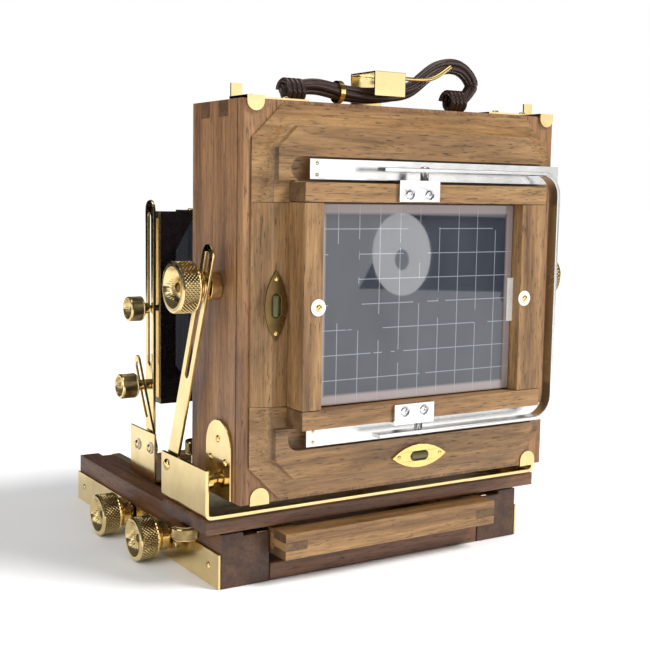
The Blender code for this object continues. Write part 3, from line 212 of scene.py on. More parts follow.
def metal(name, color, worn, low, high, grain=(1.0, 1.0, 1.0), depth=0.000006, painted_groove_shade=None):
    """Polished or brushed metal with soft waviness, faint scratches and dulled patches, and painted shade in the
    knurling's grooves when a groove colour is given.
    """
    look = Look(name, Metallic=1.0)
    patches = look.noise(look.place, 60.0, 3.0, 0.6)
    brushed = look.noise(look.scaled(grain), 2600.0, 3.0, 0.6)
    waves = look.noise(look.place, 130.0, 2.0, 0.4)
    tone = look.mix(look.ramp(patches, (0.40, 0.0), (0.75, 0.6)), color, worn)
    # painted shade: a vertex's depth in the knurling mixes in the dark groove colour
    if painted_groove_shade:
        marked = look.nodes.new("ShaderNodeAttribute")
        marked.attribute_name = "painted_groove_shade"
        tone = look.mix(look.ramp(marked.outputs["Fac"], (0.35, 0.0), (0.95, 0.85)), tone, painted_groove_shade)
    limits = (0.3, low), (0.7, high)
    rough = look.mix(0.35, look.ramp(patches, *limits), look.ramp(brushed, *limits))
    height = look.sum("ADD", look.sum("MULTIPLY", waves, 1.0), look.sum("MULTIPLY", brushed, 0.25))
    return look.finish(tone, rough, height, depth, 0.8)


def glass_look():
    """Ground glass: cool slate, a pale frosted border and the framing grid of half-inch squares."""
    look = Look("ground_glass", IOR=1.75)
    low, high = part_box("ground_glass")
    middle = (low + high) / 2
    line, border = 0.00022, 0.0058
    lines = []
    edges = []
    for letter, centre, half in (
        ("X", middle.x, (high.x - low.x) / 2),
        ("Z", middle.z, (high.z - low.z) / 2),
    ):
        away = look.sum("SUBTRACT", look.axis(letter), centre)
        cell = look.sum("PINGPONG", away, GRID_PITCH / 2)
        near = look.sum("LESS_THAN", cell, line)
        worn = look.sum("GREATER_THAN", look.noise(look.place, 34.0, 2.0), 0.43)
        lines.append(look.sum("MULTIPLY", near, worn))
        edges.append(look.sum("SUBTRACT", look.sum("ABSOLUTE", away), half - border))
    grid = look.sum("MAXIMUM", *lines)
    rim = look.ramp(look.sum("MULTIPLY", look.sum("MAXIMUM", *edges), 400.0), (0.0, 0.0), (0.6, 1.0))
    haze = look.noise(look.scaled((1.0, 1.0, 0.5)), 16.0, 3.0)
    slate = look.ramp(haze, (0.3, (0.024, 0.028, 0.038)), (0.7, (0.056, 0.062, 0.076)))
    marked = look.mix(look.sum("MULTIPLY", grid, 0.55), slate, (0.36, 0.40, 0.46))
    color = look.mix(look.sum("MULTIPLY", rim, 0.72), marked, (0.40, 0.33, 0.32))
    rough = look.ramp(look.noise(look.place, 900.0, 2.0), (0.3, 0.012), (0.7, 0.030))
    return look.finish(color, rough)


def soft(name, colors, roughness, scale, depth, weave=False, **sockets):
    """Leather, cloth, lacquer or plastic: two tones in a fine grain."""
    look = Look(name, **sockets)
    grain = look.noise(look.place, scale, 4.0, 0.6)
    pattern = look.cells(look.place, scale * (1.6 if weave else 0.9))
    color = look.ramp(look.mix(0.5, grain, pattern), (0.25, colors[0]), (0.7, colors[1]))
    rough = look.ramp(grain, (0.3, roughness - 0.06), (0.7, roughness + 0.08))
    return look.finish(color, rough, look.mix(0.6, grain, pattern), depth, 0.8)


FACE = ((0.145, 0.068, 0.024), (0.320, 0.172, 0.064), (0.450, 0.262, 0.108))
CASE = ((0.150, 0.064, 0.024), (0.290, 0.138, 0.054), (0.410, 0.215, 0.090))
BASE = ((0.075, 0.028, 0.012), (0.170, 0.070, 0.029), (0.255, 0.116, 0.050))
WOODS = {
    (tone, grain): wood("%s_%s" % (tone, grain.lower()), grain, *colors, seed)
    for seed, (tone, colors) in enumerate((("face", FACE), ("case", CASE), ("base", BASE)), 1)
    for grain in "XYZ"
}
GOLD = metal("gold_brass", (0.88, 0.69, 0.34), (0.66, 0.49, 0.22), 0.09, 0.20)
# painted shade: the last colour darkens the knurling's grooves, where shade falls
KNURL = metal("knurled_gold", (0.88, 0.69, 0.34), (0.70, 0.52, 0.24), 0.12, 0.24, painted_groove_shade=(0.10, 0.06, 0.02))
BRIGHT_GOLD = metal("bright_gold", (0.93, 0.70, 0.26), (0.80, 0.56, 0.20), 0.10, 0.20)
DARK_GOLD = metal("dark_gold", (0.20, 0.13, 0.05), (0.07, 0.045, 0.02), 0.22, 0.42)
STEEL = metal("stainless", (0.80, 0.80, 0.79), (0.66, 0.65, 0.63), 0.16, 0.30, (0.04, 1.0, 1.0))
CHROME = metal("chrome", (0.84, 0.84, 0.84), (0.70, 0.70, 0.70), 0.07, 0.16)
GLASS = glass_look()
HIDE = (0.020, 0.010, 0.008), (0.050, 0.026, 0.020)
BLACK = (0.006, 0.004, 0.004), (0.011, 0.007, 0.007)
LEATHER = soft("leather", HIDE, 0.34, 1400.0, 0.00005, Coat_Weight=0.3)
CLOTH = soft("bellows_cloth", ((0.012, 0.013, 0.018), (0.034, 0.037, 0.050)), 0.46, 2200.0, 0.00004, True)
LACQUER = soft("black_lacquer", BLACK, 0.24, 260.0, 0.00002, Coat_Weight=0.4)
NYLON = soft("nylon", ((0.72, 0.70, 0.66), (0.82, 0.80, 0.76)), 0.38, 900.0, 0.00001)
VIAL = Look("vial", IOR=1.5, Roughness=0.05).finish((0.10, 0.09, 0.035, 1.0))
SLOTS = {"face": "walnut", "case": "walnut", "base": "dark_walnut"}
SLOT_OF = {
    **dict.fromkeys((GOLD, KNURL, BRIGHT_GOLD, DARK_GOLD), "brass"),
    **{STEEL: "stainless", CHROME: "chrome", GLASS: "ground_glass"},
    **{LEATHER: "leather", CLOTH: "bellows_cloth", LACQUER: "black_lacquer"},
}
for (tone, _), made in WOODS.items():
    SLOT_OF[made] = SLOTS[tone]


# ---- mesh helpers
def linked(name, data):
    obj = bpy.data.objects.new(name, data)
    bpy.context.scene.collection.objects.link(obj)
    return obj


def evaluated(obj):
    return bpy.data.meshes.new_from_object(obj.evaluated_get(bpy.context.evaluated_depsgraph_get()))


def smooth_group():
    """Geometry nodes that shade a carried-over node smooth, but for its sharp edges."""
    group = bpy.data.node_groups.new("smooth_by_angle", "GeometryNodeTree")
    group.interface.new_socket("Geometry", in_out="INPUT", socket_type="NodeSocketGeometry")
    group.interface.new_socket("Geometry", in_out="OUTPUT", socket_type="NodeSocketGeometry")
    start, end = group.nodes.new("NodeGroupInput"), group.nodes.new("NodeGroupOutput")
    faces, edges = (group.nodes.new("GeometryNodeSetShadeSmooth") for _ in range(2))
    edges.domain = "EDGE"
    edges.inputs["Shade Smooth"].default_value = False
    angle = group.nodes.new("GeometryNodeInputMeshEdgeAngle")
    sharp = group.nodes.new("FunctionNodeCompare")
    sharp.operation = "GREATER_THAN"
    sharp.inputs[1].default_value = math.radians(SHARP_DEGREES)
    group.links.new(angle.outputs["Unsigned Angle"], sharp.inputs[0])
    group.links.new(sharp.outputs[0], edges.inputs["Selection"])
    group.links.new(start.outputs[0], faces.inputs["Geometry"])
    group.links.new(faces.outputs[0], edges.inputs["Geometry"])
    group.links.new(edges.outputs[0], end.inputs[0])
    return group


SMOOTH = smooth_group()


def flatten(obj):
    """Large faces set the normals, so that a rounded edge doesn't bend their reflections."""
    modifier = obj.modifiers.new("flat", "WEIGHTED_NORMAL")
    modifier.weight = 100
    modifier.keep_sharp = True


def carry_over(node, material, width=0.00035):
    """A CAD node keeps its shape and gets rounded edges and its finish."""
    obj = NODES[node]
    weld = obj.modifiers.new("weld", "WELD")
    weld.merge_threshold = 0.00001
    bevel = obj.modifiers.new("bevel", "BEVEL")
    bevel.width = width
    bevel.segments = 2
    bevel.limit_method = "ANGLE"
    bevel.angle_limit = math.radians(SHARP_DEGREES)
    obj.modifiers.new("smooth", "NODES").node_group = SMOOTH
    flatten(obj)
    obj.data.materials.clear()
    obj.data.materials.append(material)


def body_of(node):
    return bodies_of(NODES[node])[0]


def place_piece(name, mesh, material, body, nodes=(), flat=True, sharp=SHARP_DEGREES):
    """Links a finished mesh as a piece that rides on a body, and stands for CAD nodes if it replaces any."""
    obj = linked(name, mesh)
    if not mesh.materials:
        mesh.materials.append(material)
    mesh.shade_smooth()
    mesh.set_sharp_from_angle(angle=math.radians(sharp))
    if flat:
        flatten(obj)
    if body is not None:
        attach(obj, body)
    if nodes:
        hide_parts(*nodes)
    return obj


def mesh_from(shape, name):
    bmesh.ops.recalc_face_normals(shape, faces=shape.faces)
    mesh = bpy.data.meshes.new(name)
    shape.to_mesh(mesh)
    shape.free()
    return mesh


def skin(rings, name, capped=True, ring_closed=True):
    """A surface over rings of points: the ends are capped, or the last ring joins the first."""
    shape = bmesh.new()
    rows = [[shape.verts.new(point) for point in ring] for ring in rings]
    pairs = list(zip(rows, rows[1:]))
    if not ring_closed:
        pairs.append((rows[-1], rows[0]))
    for a, b in pairs:
        for k in range(len(a)):
            n = (k + 1) % len(a)
            shape.faces.new((a[k], a[n], b[n], b[k]))
    if capped:
        shape.faces.new(rows[0])
        shape.faces.new(rows[-1])
    return mesh_from(shape, name)


def turned(profile, name, segments=48, wave=None):
    """A mesh turned about X from (along, radius) pairs; wave gives a change of radius at (angle, along)."""
    rings = []
    for along, radius in profile:
        ring = []
        for k in range(segments):
            angle = 2 * math.pi * k / segments
            r = radius + (wave(angle, along) if wave else 0.0)
            ring.append((along, r * math.cos(angle), r * math.sin(angle)))
        rings.append(ring)
    return skin(rings, name)


def outline(name, loops, plane, low, high, bevel=0.0003):
    """A flat solid from outlines in one plane, with rounded edges. The first loop is the outside."""
    curve = bpy.data.curves.new(name, "CURVE")
    curve.dimensions = "2D"
    curve.fill_mode = "BOTH"
    curve.extrude = (high - low) / 2 - bevel
    curve.bevel_depth = bevel
    curve.bevel_resolution = 1
    curve.offset = -bevel
    for loop in loops:
        spline = curve.splines.new("POLY")
        spline.points.add(len(loop) - 1)
        spline.use_cyclic_u = True
        for point, (a, b) in zip(spline.points, loop):
            point.co = (a, b, 0.0, 1.0)
    obj = linked(name, curve)
    mesh = evaluated(obj)
    bpy.data.objects.remove(obj)
    middle = (low + high) / 2
    turn = {
        "XY": Matrix(((1, 0, 0, 0), (0, 1, 0, 0), (0, 0, 1, middle), (0, 0, 0, 1))),
        "XZ": Matrix(((1, 0, 0, 0), (0, 0, 1, middle), (0, 1, 0, 0), (0, 0, 0, 1))),
        "YZ": Matrix(((0, 0, 1, middle), (1, 0, 0, 0), (0, 1, 0, 0), (0, 0, 0, 1))),
    }[plane]
    mesh.transform(turn)
    shape = bmesh.new()
    shape.from_mesh(mesh)
    bmesh.ops.remove_doubles(shape, verts=shape.verts, dist=0.000002)
    return mesh_from(shape, name)


def rectangle(x0, x1, y0, y1):
    return [(x0, y0), (x1, y0), (x1, y1), (x0, y1)]


def arc(centre, radius, start, end, steps):
    turns = [math.radians(start + (end - start) * k / steps) for k in range(steps + 1)]
    return [(centre[0] + radius * math.cos(t), centre[1] + radius * math.sin(t)) for t in turns]


def welded(node):
    """A copy of a CAD node's mesh, its split corners joined."""
    shape = bmesh.new()
    shape.from_mesh(NODES[node].data)
    bmesh.ops.remove_doubles(shape, verts=shape.verts, dist=0.00001)
    return mesh_from(shape, node)


def block(name, low, high, bevel=0.0004):
    shape = bmesh.new()
    bmesh.ops.create_cube(shape, size=1.0)
    low, high = Vector(low), Vector(high)
    size = high - low
    bmesh.ops.scale(shape, vec=size, verts=shape.verts)
    bmesh.ops.translate(shape, vec=(low + high) / 2, verts=shape.verts)
    if bevel:
        bmesh.ops.bevel(shape, geom=list(shape.edges), offset=bevel, segments=2, affect="EDGES", profile=0.7)
    return mesh_from(shape, name)


def cut(mesh, *cutters, operation="DIFFERENCE"):
    """The mesh after exact Booleans with other meshes."""
    obj = bpy.data.objects.new(mesh.name, mesh)
    HIDDEN.objects.link(obj)
    made = [obj]
    for cutter in cutters:
        other = bpy.data.objects.new("cutter", cutter)
        HIDDEN.objects.link(other)
        made.append(other)
        modifier = obj.modifiers.new("cut", "BOOLEAN")
        modifier.operation = operation
        modifier.object = other
    result = evaluated(obj)
    for item in made:
        bpy.data.objects.remove(item)
    result.name = mesh.name
    return result


def tube(points, radius, name, sides=10, flat=1.0):
    """A round or flattened tube along points, with no twist."""
    rings = []
    up = Vector((0, 0, 1))
    for k, point in enumerate(points):
        ahead = (points[min(k + 1, len(points) - 1)] - points[max(k - 1, 0)]).normalized()
        side = ahead.cross(up)
        side = side.normalized() if side.length > 0.05 else Vector((0, 1, 0))
        lift = side.cross(ahead).normalized()
        ring = []
        for n in range(sides):
            angle = 2 * math.pi * n / sides
            ring.append(point + radius * (side * math.cos(angle) + lift * math.sin(angle) * flat))
        rings.append(ring)
    return skin(rings, name)


# ---- screws
def screw_mesh(drive):
    """A low domed head of radius 1, its face towards +X, cut for its driver."""
    dome = [(-0.30, 1.0), (0.05, 1.0), (0.20, 0.93), (0.34, 0.74), (0.42, 0.45), (0.45, 0.05)]
    head = turned(dome, "screw_" + drive, 32)
    slots = [block("slot", (0.22, -1.2, -0.13), (0.8, 1.2, 0.13), 0)]
    if drive == "cross":
        slots = [
            block("slot", (0.12, -0.52, -0.12), (0.8, 0.52, 0.12), 0),
            block("slot", (0.12, -0.12, -0.52), (0.8, 0.12, 0.52), 0),
        ]
    return cut(head, *slots)


SCREWS = {drive: screw_mesh(drive) for drive in ("slot", "cross")}


def screw(name, place, facing, radius, body, material, drive="slot", turn=20.0):
    mesh = SCREWS[drive].copy()
    rotation = Vector((1, 0, 0)).rotation_difference(Vector(facing)).to_matrix().to_4x4()
    spin = Matrix.Rotation(math.radians(turn), 4, "X")
    mesh.transform(Matrix.Translation(place) @ rotation @ spin @ Matrix.Scale(radius, 4))
    return place_piece(name, mesh, material, body)


# ---- knobs
def knurl(radius, pitch, start, end, depth):
    """A change of radius that raises diamonds between two places along the axis."""
    count = round(2 * math.pi * radius / pitch)

    def rise(x):
        return 1 - abs(2 * (x % 1.0) - 1)

    def wave(angle, along):
        if not start < along < end:
            return 0.0
        around = count * angle / (2 * math.pi)
        across = along / pitch
        return -depth * (1 - min(rise(around + across), rise(around - across)))

    return count, wave


def mark_groove_shade(mesh, place, index, facing, length, radius, painted_shade_depth):
    """Stores on each vertex how deep it lies in the knurling, for the material to paint shade into the grooves."""
    painted_groove_shade = mesh.attributes.new("painted_groove_shade", "FLOAT", "POINT")
    for vertex, value in zip(mesh.vertices, painted_groove_shade.data):
        across = math.hypot(*[(vertex.co - place)[k] for k in range(3) if k != index])
        along = -facing * (vertex.co[index] - place[index])
        knurled = 0.08 * length < along < 0.92 * length and across > 0.8 * radius
        value.value = min(1.0, max(0.0, (radius - across) / painted_shade_depth)) if knurled else 0.0


def knurled_knob(node, length, neck, pitch, axis="X", facing=None):
    """A knurled knob with a dished face, a rounded rim and its neck and stud, in place of a CAD knob."""
    low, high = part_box(node)
    middle = (low + high) / 2
    index = "XYZ".index(axis)
    facing = facing or (1 if middle[index] > 0 else -1)
    total = (high - low)[index]
    radius = (high - low)[(index + 1) % 3] / 2
    outer = high[index] if facing > 0 else low[index]
    count, wave = knurl(radius, pitch, -0.90 * length, -0.10 * length, pitch * KNURL_DEPTH)
    dish = [(-0.30, 0.0001 / radius), (-0.30, 0.24), (-0.34, 0.27), (-0.36, 0.44), (-0.30, 0.62), (-0.10, 0.74)]
    front_rim = [(0.0, 0.80), (0.0, 0.91), (-0.03, 0.965), (-0.075, 0.985)]
    rear_rim = [(0.925, 0.985), (0.97, 0.965), (1.0, 0.90), (1.0, 0.5)]
    rows = max(6, round(0.8 * length / (pitch / 4)))
    profile = [(length * a, radius * r) for a, r in dish + front_rim]
    profile += [(-length * (0.1 + 0.8 * k / rows), radius) for k in range(rows + 1)]
    profile += [(-length * a, radius * r) for a, r in rear_rim]
    profile += [(-a, r) for a, r in neck if a <= total]
    profile += [(-total, neck[-1][1]), (-total, 0.0001)]
    mesh = turned(profile, node + "_knurled", 4 * count, wave)
    turn = Matrix.Rotation({"X": 0.0, "Z": -math.pi / 2}[axis], 4, "Y")
    if facing < 0:
        turn = turn @ Matrix.Scale(-1, 4, (1, 0, 0))
    place = middle.copy()
    place[index] = outer
    mesh.transform(Matrix.Translation(place) @ turn)
    if facing < 0:
        mesh.flip_normals()
    body = body_of(node)
    # painted shade: how deep each vertex lies in the knurling sets how much the material darkens it
    mark_groove_shade(mesh, place, index, facing, length, radius, pitch * KNURL_PAINTED_SHADE)
    place_piece(node + "_knurled", mesh, KNURL, body, [node], flat=False, sharp=24)
    direction = Vector((0, 0, 0))
    direction[index] = facing
    at = place - direction * length * 0.29
    screw(node + "_screw", at, direction, radius * 0.20, body, DARK_GOLD, "slot", 35)


# ---- carried-over nodes
def finish_nodes():
    """The CAD nodes that are shown as they are, but for rounded edges and a finish."""
    gold = ("rear_strut", "front_post", "front_link", "tilt_", "side_plate", "hinge_plate", "back_latch", "focus_rack")
    gold += ("platform_bracket", "front_bracket", "closing_catch", "lens_board_latch", "focus_shaft", "tripod_plate")
    for name in NODES:
        if name.startswith(gold) and "knob" not in name:
            carry_over(name, GOLD)
    carry_over("bail", STEEL)
    carry_over("ground_glass", GLASS, 0.0008)
    carry_over("lens_frame", LACQUER, 0.0008)
    carry_over("lens_board", LACQUER, 0.0006)
    carry_over("level_side", DARK_GOLD, 0.0003)
    carry_over("level_bottom", BRIGHT_GOLD, 0.0003)
    for name, grain in (
        ("base_rail_left", "Y"),
        ("base_rail_right", "Y"),
        ("base_rear_rail", "X"),
        ("base_front_rail", "X"),
        ("tripod_board", "X"),
        ("platform_board", "X"),
    ):
        carry_over(name, WOODS["base", grain], 0.0006)


# ---- rear body
def make_body_box():
    """Four boards whose corners are finger-jointed."""
    low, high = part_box("body_box")
    wall = 0.008
    fingers = 5
    pitch = (high.y - low.y) / fingers
    body = body_of("body_box")

    def comb(first):
        """Alternate steps along Y: 1 where this board runs through to the corner."""
        return [(low.y + pitch * k, low.y + pitch * (k + 1), (k + first) % 2 == 0) for k in range(fingers)]

    for label, side in SIDES:
        edge = []
        for y0, y1, through in comb(0):
            top = high.z if through else high.z - wall - JOINT_LINE
            edge += [(y0 + JOINT_LINE, top), (y1 - JOINT_LINE, top)]
        foot = []
        for y0, y1, through in reversed(comb(0)):
            bottom = low.z if through else low.z + wall + JOINT_LINE
            foot += [(y1 - JOINT_LINE, bottom), (y0 + JOINT_LINE, bottom)]
        x0, x1 = sorted((side * high.x, side * (high.x - wall)))
        mesh = outline("body_side_" + label, [edge + foot], "YZ", x0, x1, 0.00015)
        nodes = ["body_box"] if side < 0 else []
        place_piece("body_side_" + label, mesh, WOODS["case", "Z"], body, nodes)
    for label, z0, z1 in (("top", high.z - wall, high.z), ("bottom", low.z, low.z + wall)):
        right, left = [], []
        for y0, y1, through in comb(1):
            x = high.x if through else high.x - wall - JOINT_LINE
            right += [(x, y0 + JOINT_LINE), (x, y1 - JOINT_LINE)]
            left += [(-x, y0 + JOINT_LINE), (-x, y1 - JOINT_LINE)]
        loop = right + left[::-1]
        mesh = outline("body_" + label, [loop], "XY", z0, z1, 0.00015)
        place_piece("body_" + label, mesh, WOODS["case", "X"], body)


def octagon(half_x, half_z, leg, centre):
    corners = (
        (half_x - leg, -half_z),
        (half_x, leg - half_z),
        (half_x, half_z - leg),
        (half_x - leg, half_z),
        (leg - half_x, half_z),
        (-half_x, half_z - leg),
        (-half_x, leg - half_z),
        (leg - half_x, -half_z),
    )
    return [(x, centre + z) for x, z in corners]


def make_back():
    """The square board and the eight-sided moulded layer, as rails and stiles with their own grain."""
    low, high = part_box("back_panel")
    centre = (low.z + high.z) / 2
    joint_y = -0.1244  # where the moulded layer starts
    half_x, half_z, leg = 0.0960, 0.0988, 0.0170  # the moulded layer's outline
    narrowing = 0.586  # 2 - sqrt(2), so that the cove is as wide along the slanted sides
    channel_half, channel_floor = 0.0618, -0.1299
    recess_left, recess_edges, recess_depth = -0.0720, (0.0615, 0.0735), 0.0060
    past = 0.11, 0.12  # beyond the moulded layer, and beyond the board
    body = body_of("back_panel")
    window = block("window", (-0.0635, -0.14, centre - 0.048), (0.0575, -0.11, centre + 0.048), 0)
    square = outline("back_board", [rectangle(low.x, high.x, low.z, high.z)], "XZ", joint_y, high.y, 0.0008)
    place_piece("back_board", cut(square, window), WOODS["case", "Z"], body, ["back_panel"])
    cove = 0.0100
    rise = joint_y - low.y - 0.0014
    rings = []
    steps = [(0.0, joint_y), (0.0, joint_y - 0.0011)]
    for k in range(9):
        turn = math.radians(90 * k / 8)
        steps.append((0.0006 + cove * math.sin(turn), joint_y - 0.0014 - 0.82 * rise * (1 - math.cos(turn))))
    steps.append((0.0010 + cove, low.y))
    for inset, y in steps:
        loop = octagon(half_x - inset, half_z - inset, leg - narrowing * inset, centre)
        rings.append([(x, y, z) for x, z in loop])
    channel_low = (-past[0], -0.15, centre - channel_half)
    channel = block("channel", channel_low, (past[0], channel_floor, centre + channel_half), 0)
    recesses = []
    for sign in (1, -1):
        z0, z1 = sorted(centre + sign * edge for edge in recess_edges)
        end = arc((recess_left, (z0 + z1) / 2), (z1 - z0) / 2, 90, 270, 10)
        loop = end + [(past[0], z0), (past[0], z1)]
        recesses.append(outline("recess", [loop], "XZ", -0.15, low.y + recess_depth, 0.00001))
    split = 0.0508
    for label, grain, box_low, box_high in (
        ("rail_top", "X", (-past[1], centre + split), (past[1], centre + past[1])),
        ("rail_bottom", "X", (-past[1], centre - past[1]), (past[1], centre - split)),
        ("stile_left", "Z", (-past[1], centre - split), (0.0, centre + split)),
        ("stile_right", "Z", (0.0, centre - split), (past[1], centre + split)),
    ):
        keep = block(
            "keep",
            (box_low[0], -0.16, box_low[1] + JOINT_LINE),
            (box_high[0], -0.10, box_high[1] - JOINT_LINE),
            0,
        )
        whole = skin(rings, "back_" + label)
        cutters = [cutter.copy() for cutter in (window, channel, *recesses)]
        mesh = cut(cut(whole, keep, operation="INTERSECT"), *cutters)
        place_piece("back_" + label, mesh, WOODS["face", grain], body)


def make_screen_frame():
    """Two rails and two stiles round the glass, which lies in their rebate."""
    low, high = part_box("screen_frame")
    glass_low, glass_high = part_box("ground_glass")
    gap = 0.0003
    ledge = 0.005
    body = body_of("screen_frame")
    rebate = block(
        "rebate",
        (glass_low.x - gap, low.y - 0.01, glass_low.z - gap),
        (glass_high.x + gap, glass_high.y + gap, glass_high.z + gap),
        0,
    )
    window = block(
        "window",
        (glass_low.x + ledge, low.y - 0.01, glass_low.z + ledge),
        (glass_high.x - ledge, high.y + 0.01, glass_high.z - ledge),
        0,
    )
    seams = (low.z, glass_low.z - 0.0004, glass_high.z + 0.0004, high.z)
    middle = (glass_low.x + glass_high.x) / 2
    for label, grain, x0, x1, z0, z1 in (
        ("rail_bottom", "X", low.x, high.x, seams[0], seams[1]),
        ("rail_top", "X", low.x, high.x, seams[2], seams[3]),
        ("stile_left", "Z", low.x, middle, seams[1], seams[2]),
        ("stile_right", "Z", middle, high.x, seams[1], seams[2]),
    ):
        solid = block("screen_" + label, (x0, low.y, z0 + JOINT_LINE), (x1, high.y, z1 - JOINT_LINE), 0.0007)
        mesh = cut(solid, rebate.copy(), window.copy())
        nodes = ["screen_frame"] if label == "rail_bottom" else []
        place_piece("screen_" + label, mesh, WOODS["face", grain], body, nodes)


def make_screen_fittings():
    """The glass's tabs with their washers and screws, and the drilled brackets."""
    low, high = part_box("ground_glass")
    body = body_of("ground_glass")
    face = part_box("screen_frame")[0].y
    z = (low.z + high.z) / 2
    rim = [(0, 0.0004), (0, 0.0038), (0.0003, 0.0042), (0.0006, 0.0042), (0.0009, 0.0038), (0.0009, 0.0004)]
    for label, x, inward in (("left", low.x, 1), ("right", high.x, -1)):
        centre = x - inward * 0.0030
        washer = turned(rim, "washer")
        turn = Matrix.Rotation(math.pi / 2, 4, "Z") @ Matrix.Scale(-1, 4, (1, 0, 0))
        washer.transform(Matrix.Translation((centre, face, z)) @ turn)
        place_piece("screen_washer_" + label, washer, NYLON, body)
        ends = sorted((x - inward * 0.0010, x + inward * 0.0034))
        tab = block("tab", (ends[0], low.y - 0.0010, z - 0.013), (ends[1], low.y - 0.0002, z + 0.011), 0.0003)
        place_piece("screen_tab_" + label, tab, NYLON, body)
        place = (centre, face - 0.0008, z)
        screw("screen_screw_" + label, place, TO_REAR, 0.0018, body, BRIGHT_GOLD, "slot", 50)
    for label in ("top", "bottom"):
        node = "screen_bracket_" + label
        low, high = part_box(node)
        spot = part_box("screen_frame")
        z = spot[1].z - 0.0052 if label == "top" else spot[0].z + 0.0052
        sinks = []
        holes = (low.x + 0.0065, high.x - 0.0065)
        for x in holes:
            sink = turned([(-0.0030, 0.0029), (0.0012, 0.0029)], "sink", 40)
            sink.transform(Matrix.Translation((x, low.y, z)) @ Matrix.Rotation(math.pi / 2, 4, "Z"))
            sinks.append(sink)
        place_piece(node + "_drilled", cut(welded(node), *sinks), CHROME, body, [node])
        for k, x in enumerate(holes):
            name = "bracket_screw_%s_%d" % (label, k)
            screw(name, (x, low.y + 0.00115, z), TO_REAR, 0.0025, body, CHROME, "cross", 10 + 50 * k)


def make_springs():
    """Two leaf springs. Each is two halves, so that its middle follows the screen and its ends stay put.

    The bail's left end swings inwards as the screen opens, so the left half stays put for longer.
    """
    held = {"left": 0.035, "right": -0.012}  # from each half's outer end, the part that doesn't bend
    for label in ("top", "bottom"):
        node = "leaf_spring_" + label
        low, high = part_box(node)
        middle = -0.006
        for part, x0, x1 in (("left", low.x, middle), ("right", middle, high.x)):
            count = 24
            section = [(low.y, low.z), (low.y, high.z), (high.y, high.z), (high.y, low.z)]
            places = [x0 + (x1 - x0) * k / count for k in range(count + 1)]
            rings = [[(x, y, z) for y, z in section] for x in places]
            piece = place_piece("spring_%s_%s" % (label, part), skin(rings, "spring"), STEEL, None)
            if part == "left":
                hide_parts(node)
            fixed = x0 if part == "left" else x1
            z = (low.z + high.z) / 2
            inner = fixed + held[part]
            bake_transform(piece, "rear_standard", "focusing_screen", start=(inner, low.y, z), end=(middle, low.y, z))
        for k, dz in enumerate((-0.0028, 0.0028)):
            place = (low.x + 0.004, low.y - 0.00005, (low.z + high.z) / 2 + dz)
            screw("spring_pin_%s_%d" % (label, k), place, TO_REAR, 0.0009, "rear_standard", GOLD)


def make_levels():
    """A vial and two screws in each level's plate."""
    barrel = [(-1, 0.05), (-1, 0.6), (-0.93, 0.9), (-0.8, 1), (0.8, 1), (0.93, 0.9), (1, 0.6), (1, 0.05)]
    for node, tall in (("level_side", True), ("level_bottom", False)):
        low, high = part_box(node)
        middle = (low + high) / 2
        body = body_of(node)
        long, wide = 0.0118, 0.0046
        vial = turned(barrel, "vial", 24)
        size = Matrix.Diagonal((long / 2 * 0.94, wide * 0.42, wide * 0.42, 1))
        turn = Matrix.Rotation(math.pi / 2, 4, "Y") if tall else Matrix.Identity(4)
        vial.transform(Matrix.Translation((middle.x, high.y - 0.0002, middle.z)) @ turn @ size)
        place_piece(node + "_vial", vial, VIAL, body)
        reach = 0.0135
        for k, sign in enumerate((-1, 1)):
            x, z = (middle.x, middle.z + sign * reach) if tall else (middle.x + sign * reach, middle.z)
            name = "%s_screw_%d" % (node, k)
            screw(name, (x, low.y, z), TO_REAR, 0.0013, body, BRIGHT_GOLD, "slot", 30 + 70 * k)


def make_corners():
    """Half-round plates at the back's lower corners, and the screws in its latches."""
    low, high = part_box("back_panel")
    for label, side in SIDES:
        x = side * (high.x - 0.0105)
        face, radius, foot = -0.1252, 0.0055, low.z - 0.0004
        loop = [(x - radius, foot)] + arc((x, low.z + 0.0030), radius, 180, 0, 14)
        loop.append((x + radius, foot))
        plate = outline("corner", [loop], "XZ", face, face + 0.0007, 0.0002)
        place_piece("corner_plate_" + label, plate, GOLD, "rear_standard")
        top_low, top_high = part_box("back_latch_" + label)
        body = body_of("back_latch_" + label)
        for k, share in enumerate((0.25, 0.75)):
            x = top_low.x + (top_high.x - top_low.x) * share
            place = (x, top_high.y - 0.0035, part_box("body_box")[1].z + 0.0022)
            screw("latch_screw_%s_%d" % (label, k), place, (0, 0, 1), 0.0018, body, GOLD, "cross", 25 * k)


# ---- handle
def curved(points, per_span):
    """A Catmull-Rom curve through points."""
    whole = [points[0]] + points + [points[-1]]
    route = []
    for a, b, c, d in zip(whole, whole[1:], whole[2:], whole[3:]):
        for k in range(per_span):
            t = k / per_span
            square, cube = 2 * a - 5 * b + 4 * c - d, 3 * b - a - 3 * c + d
            route.append(((2 * b) + (c - a) * t + square * t * t + cube * t ** 3) / 2)
    return route + [points[-1]]


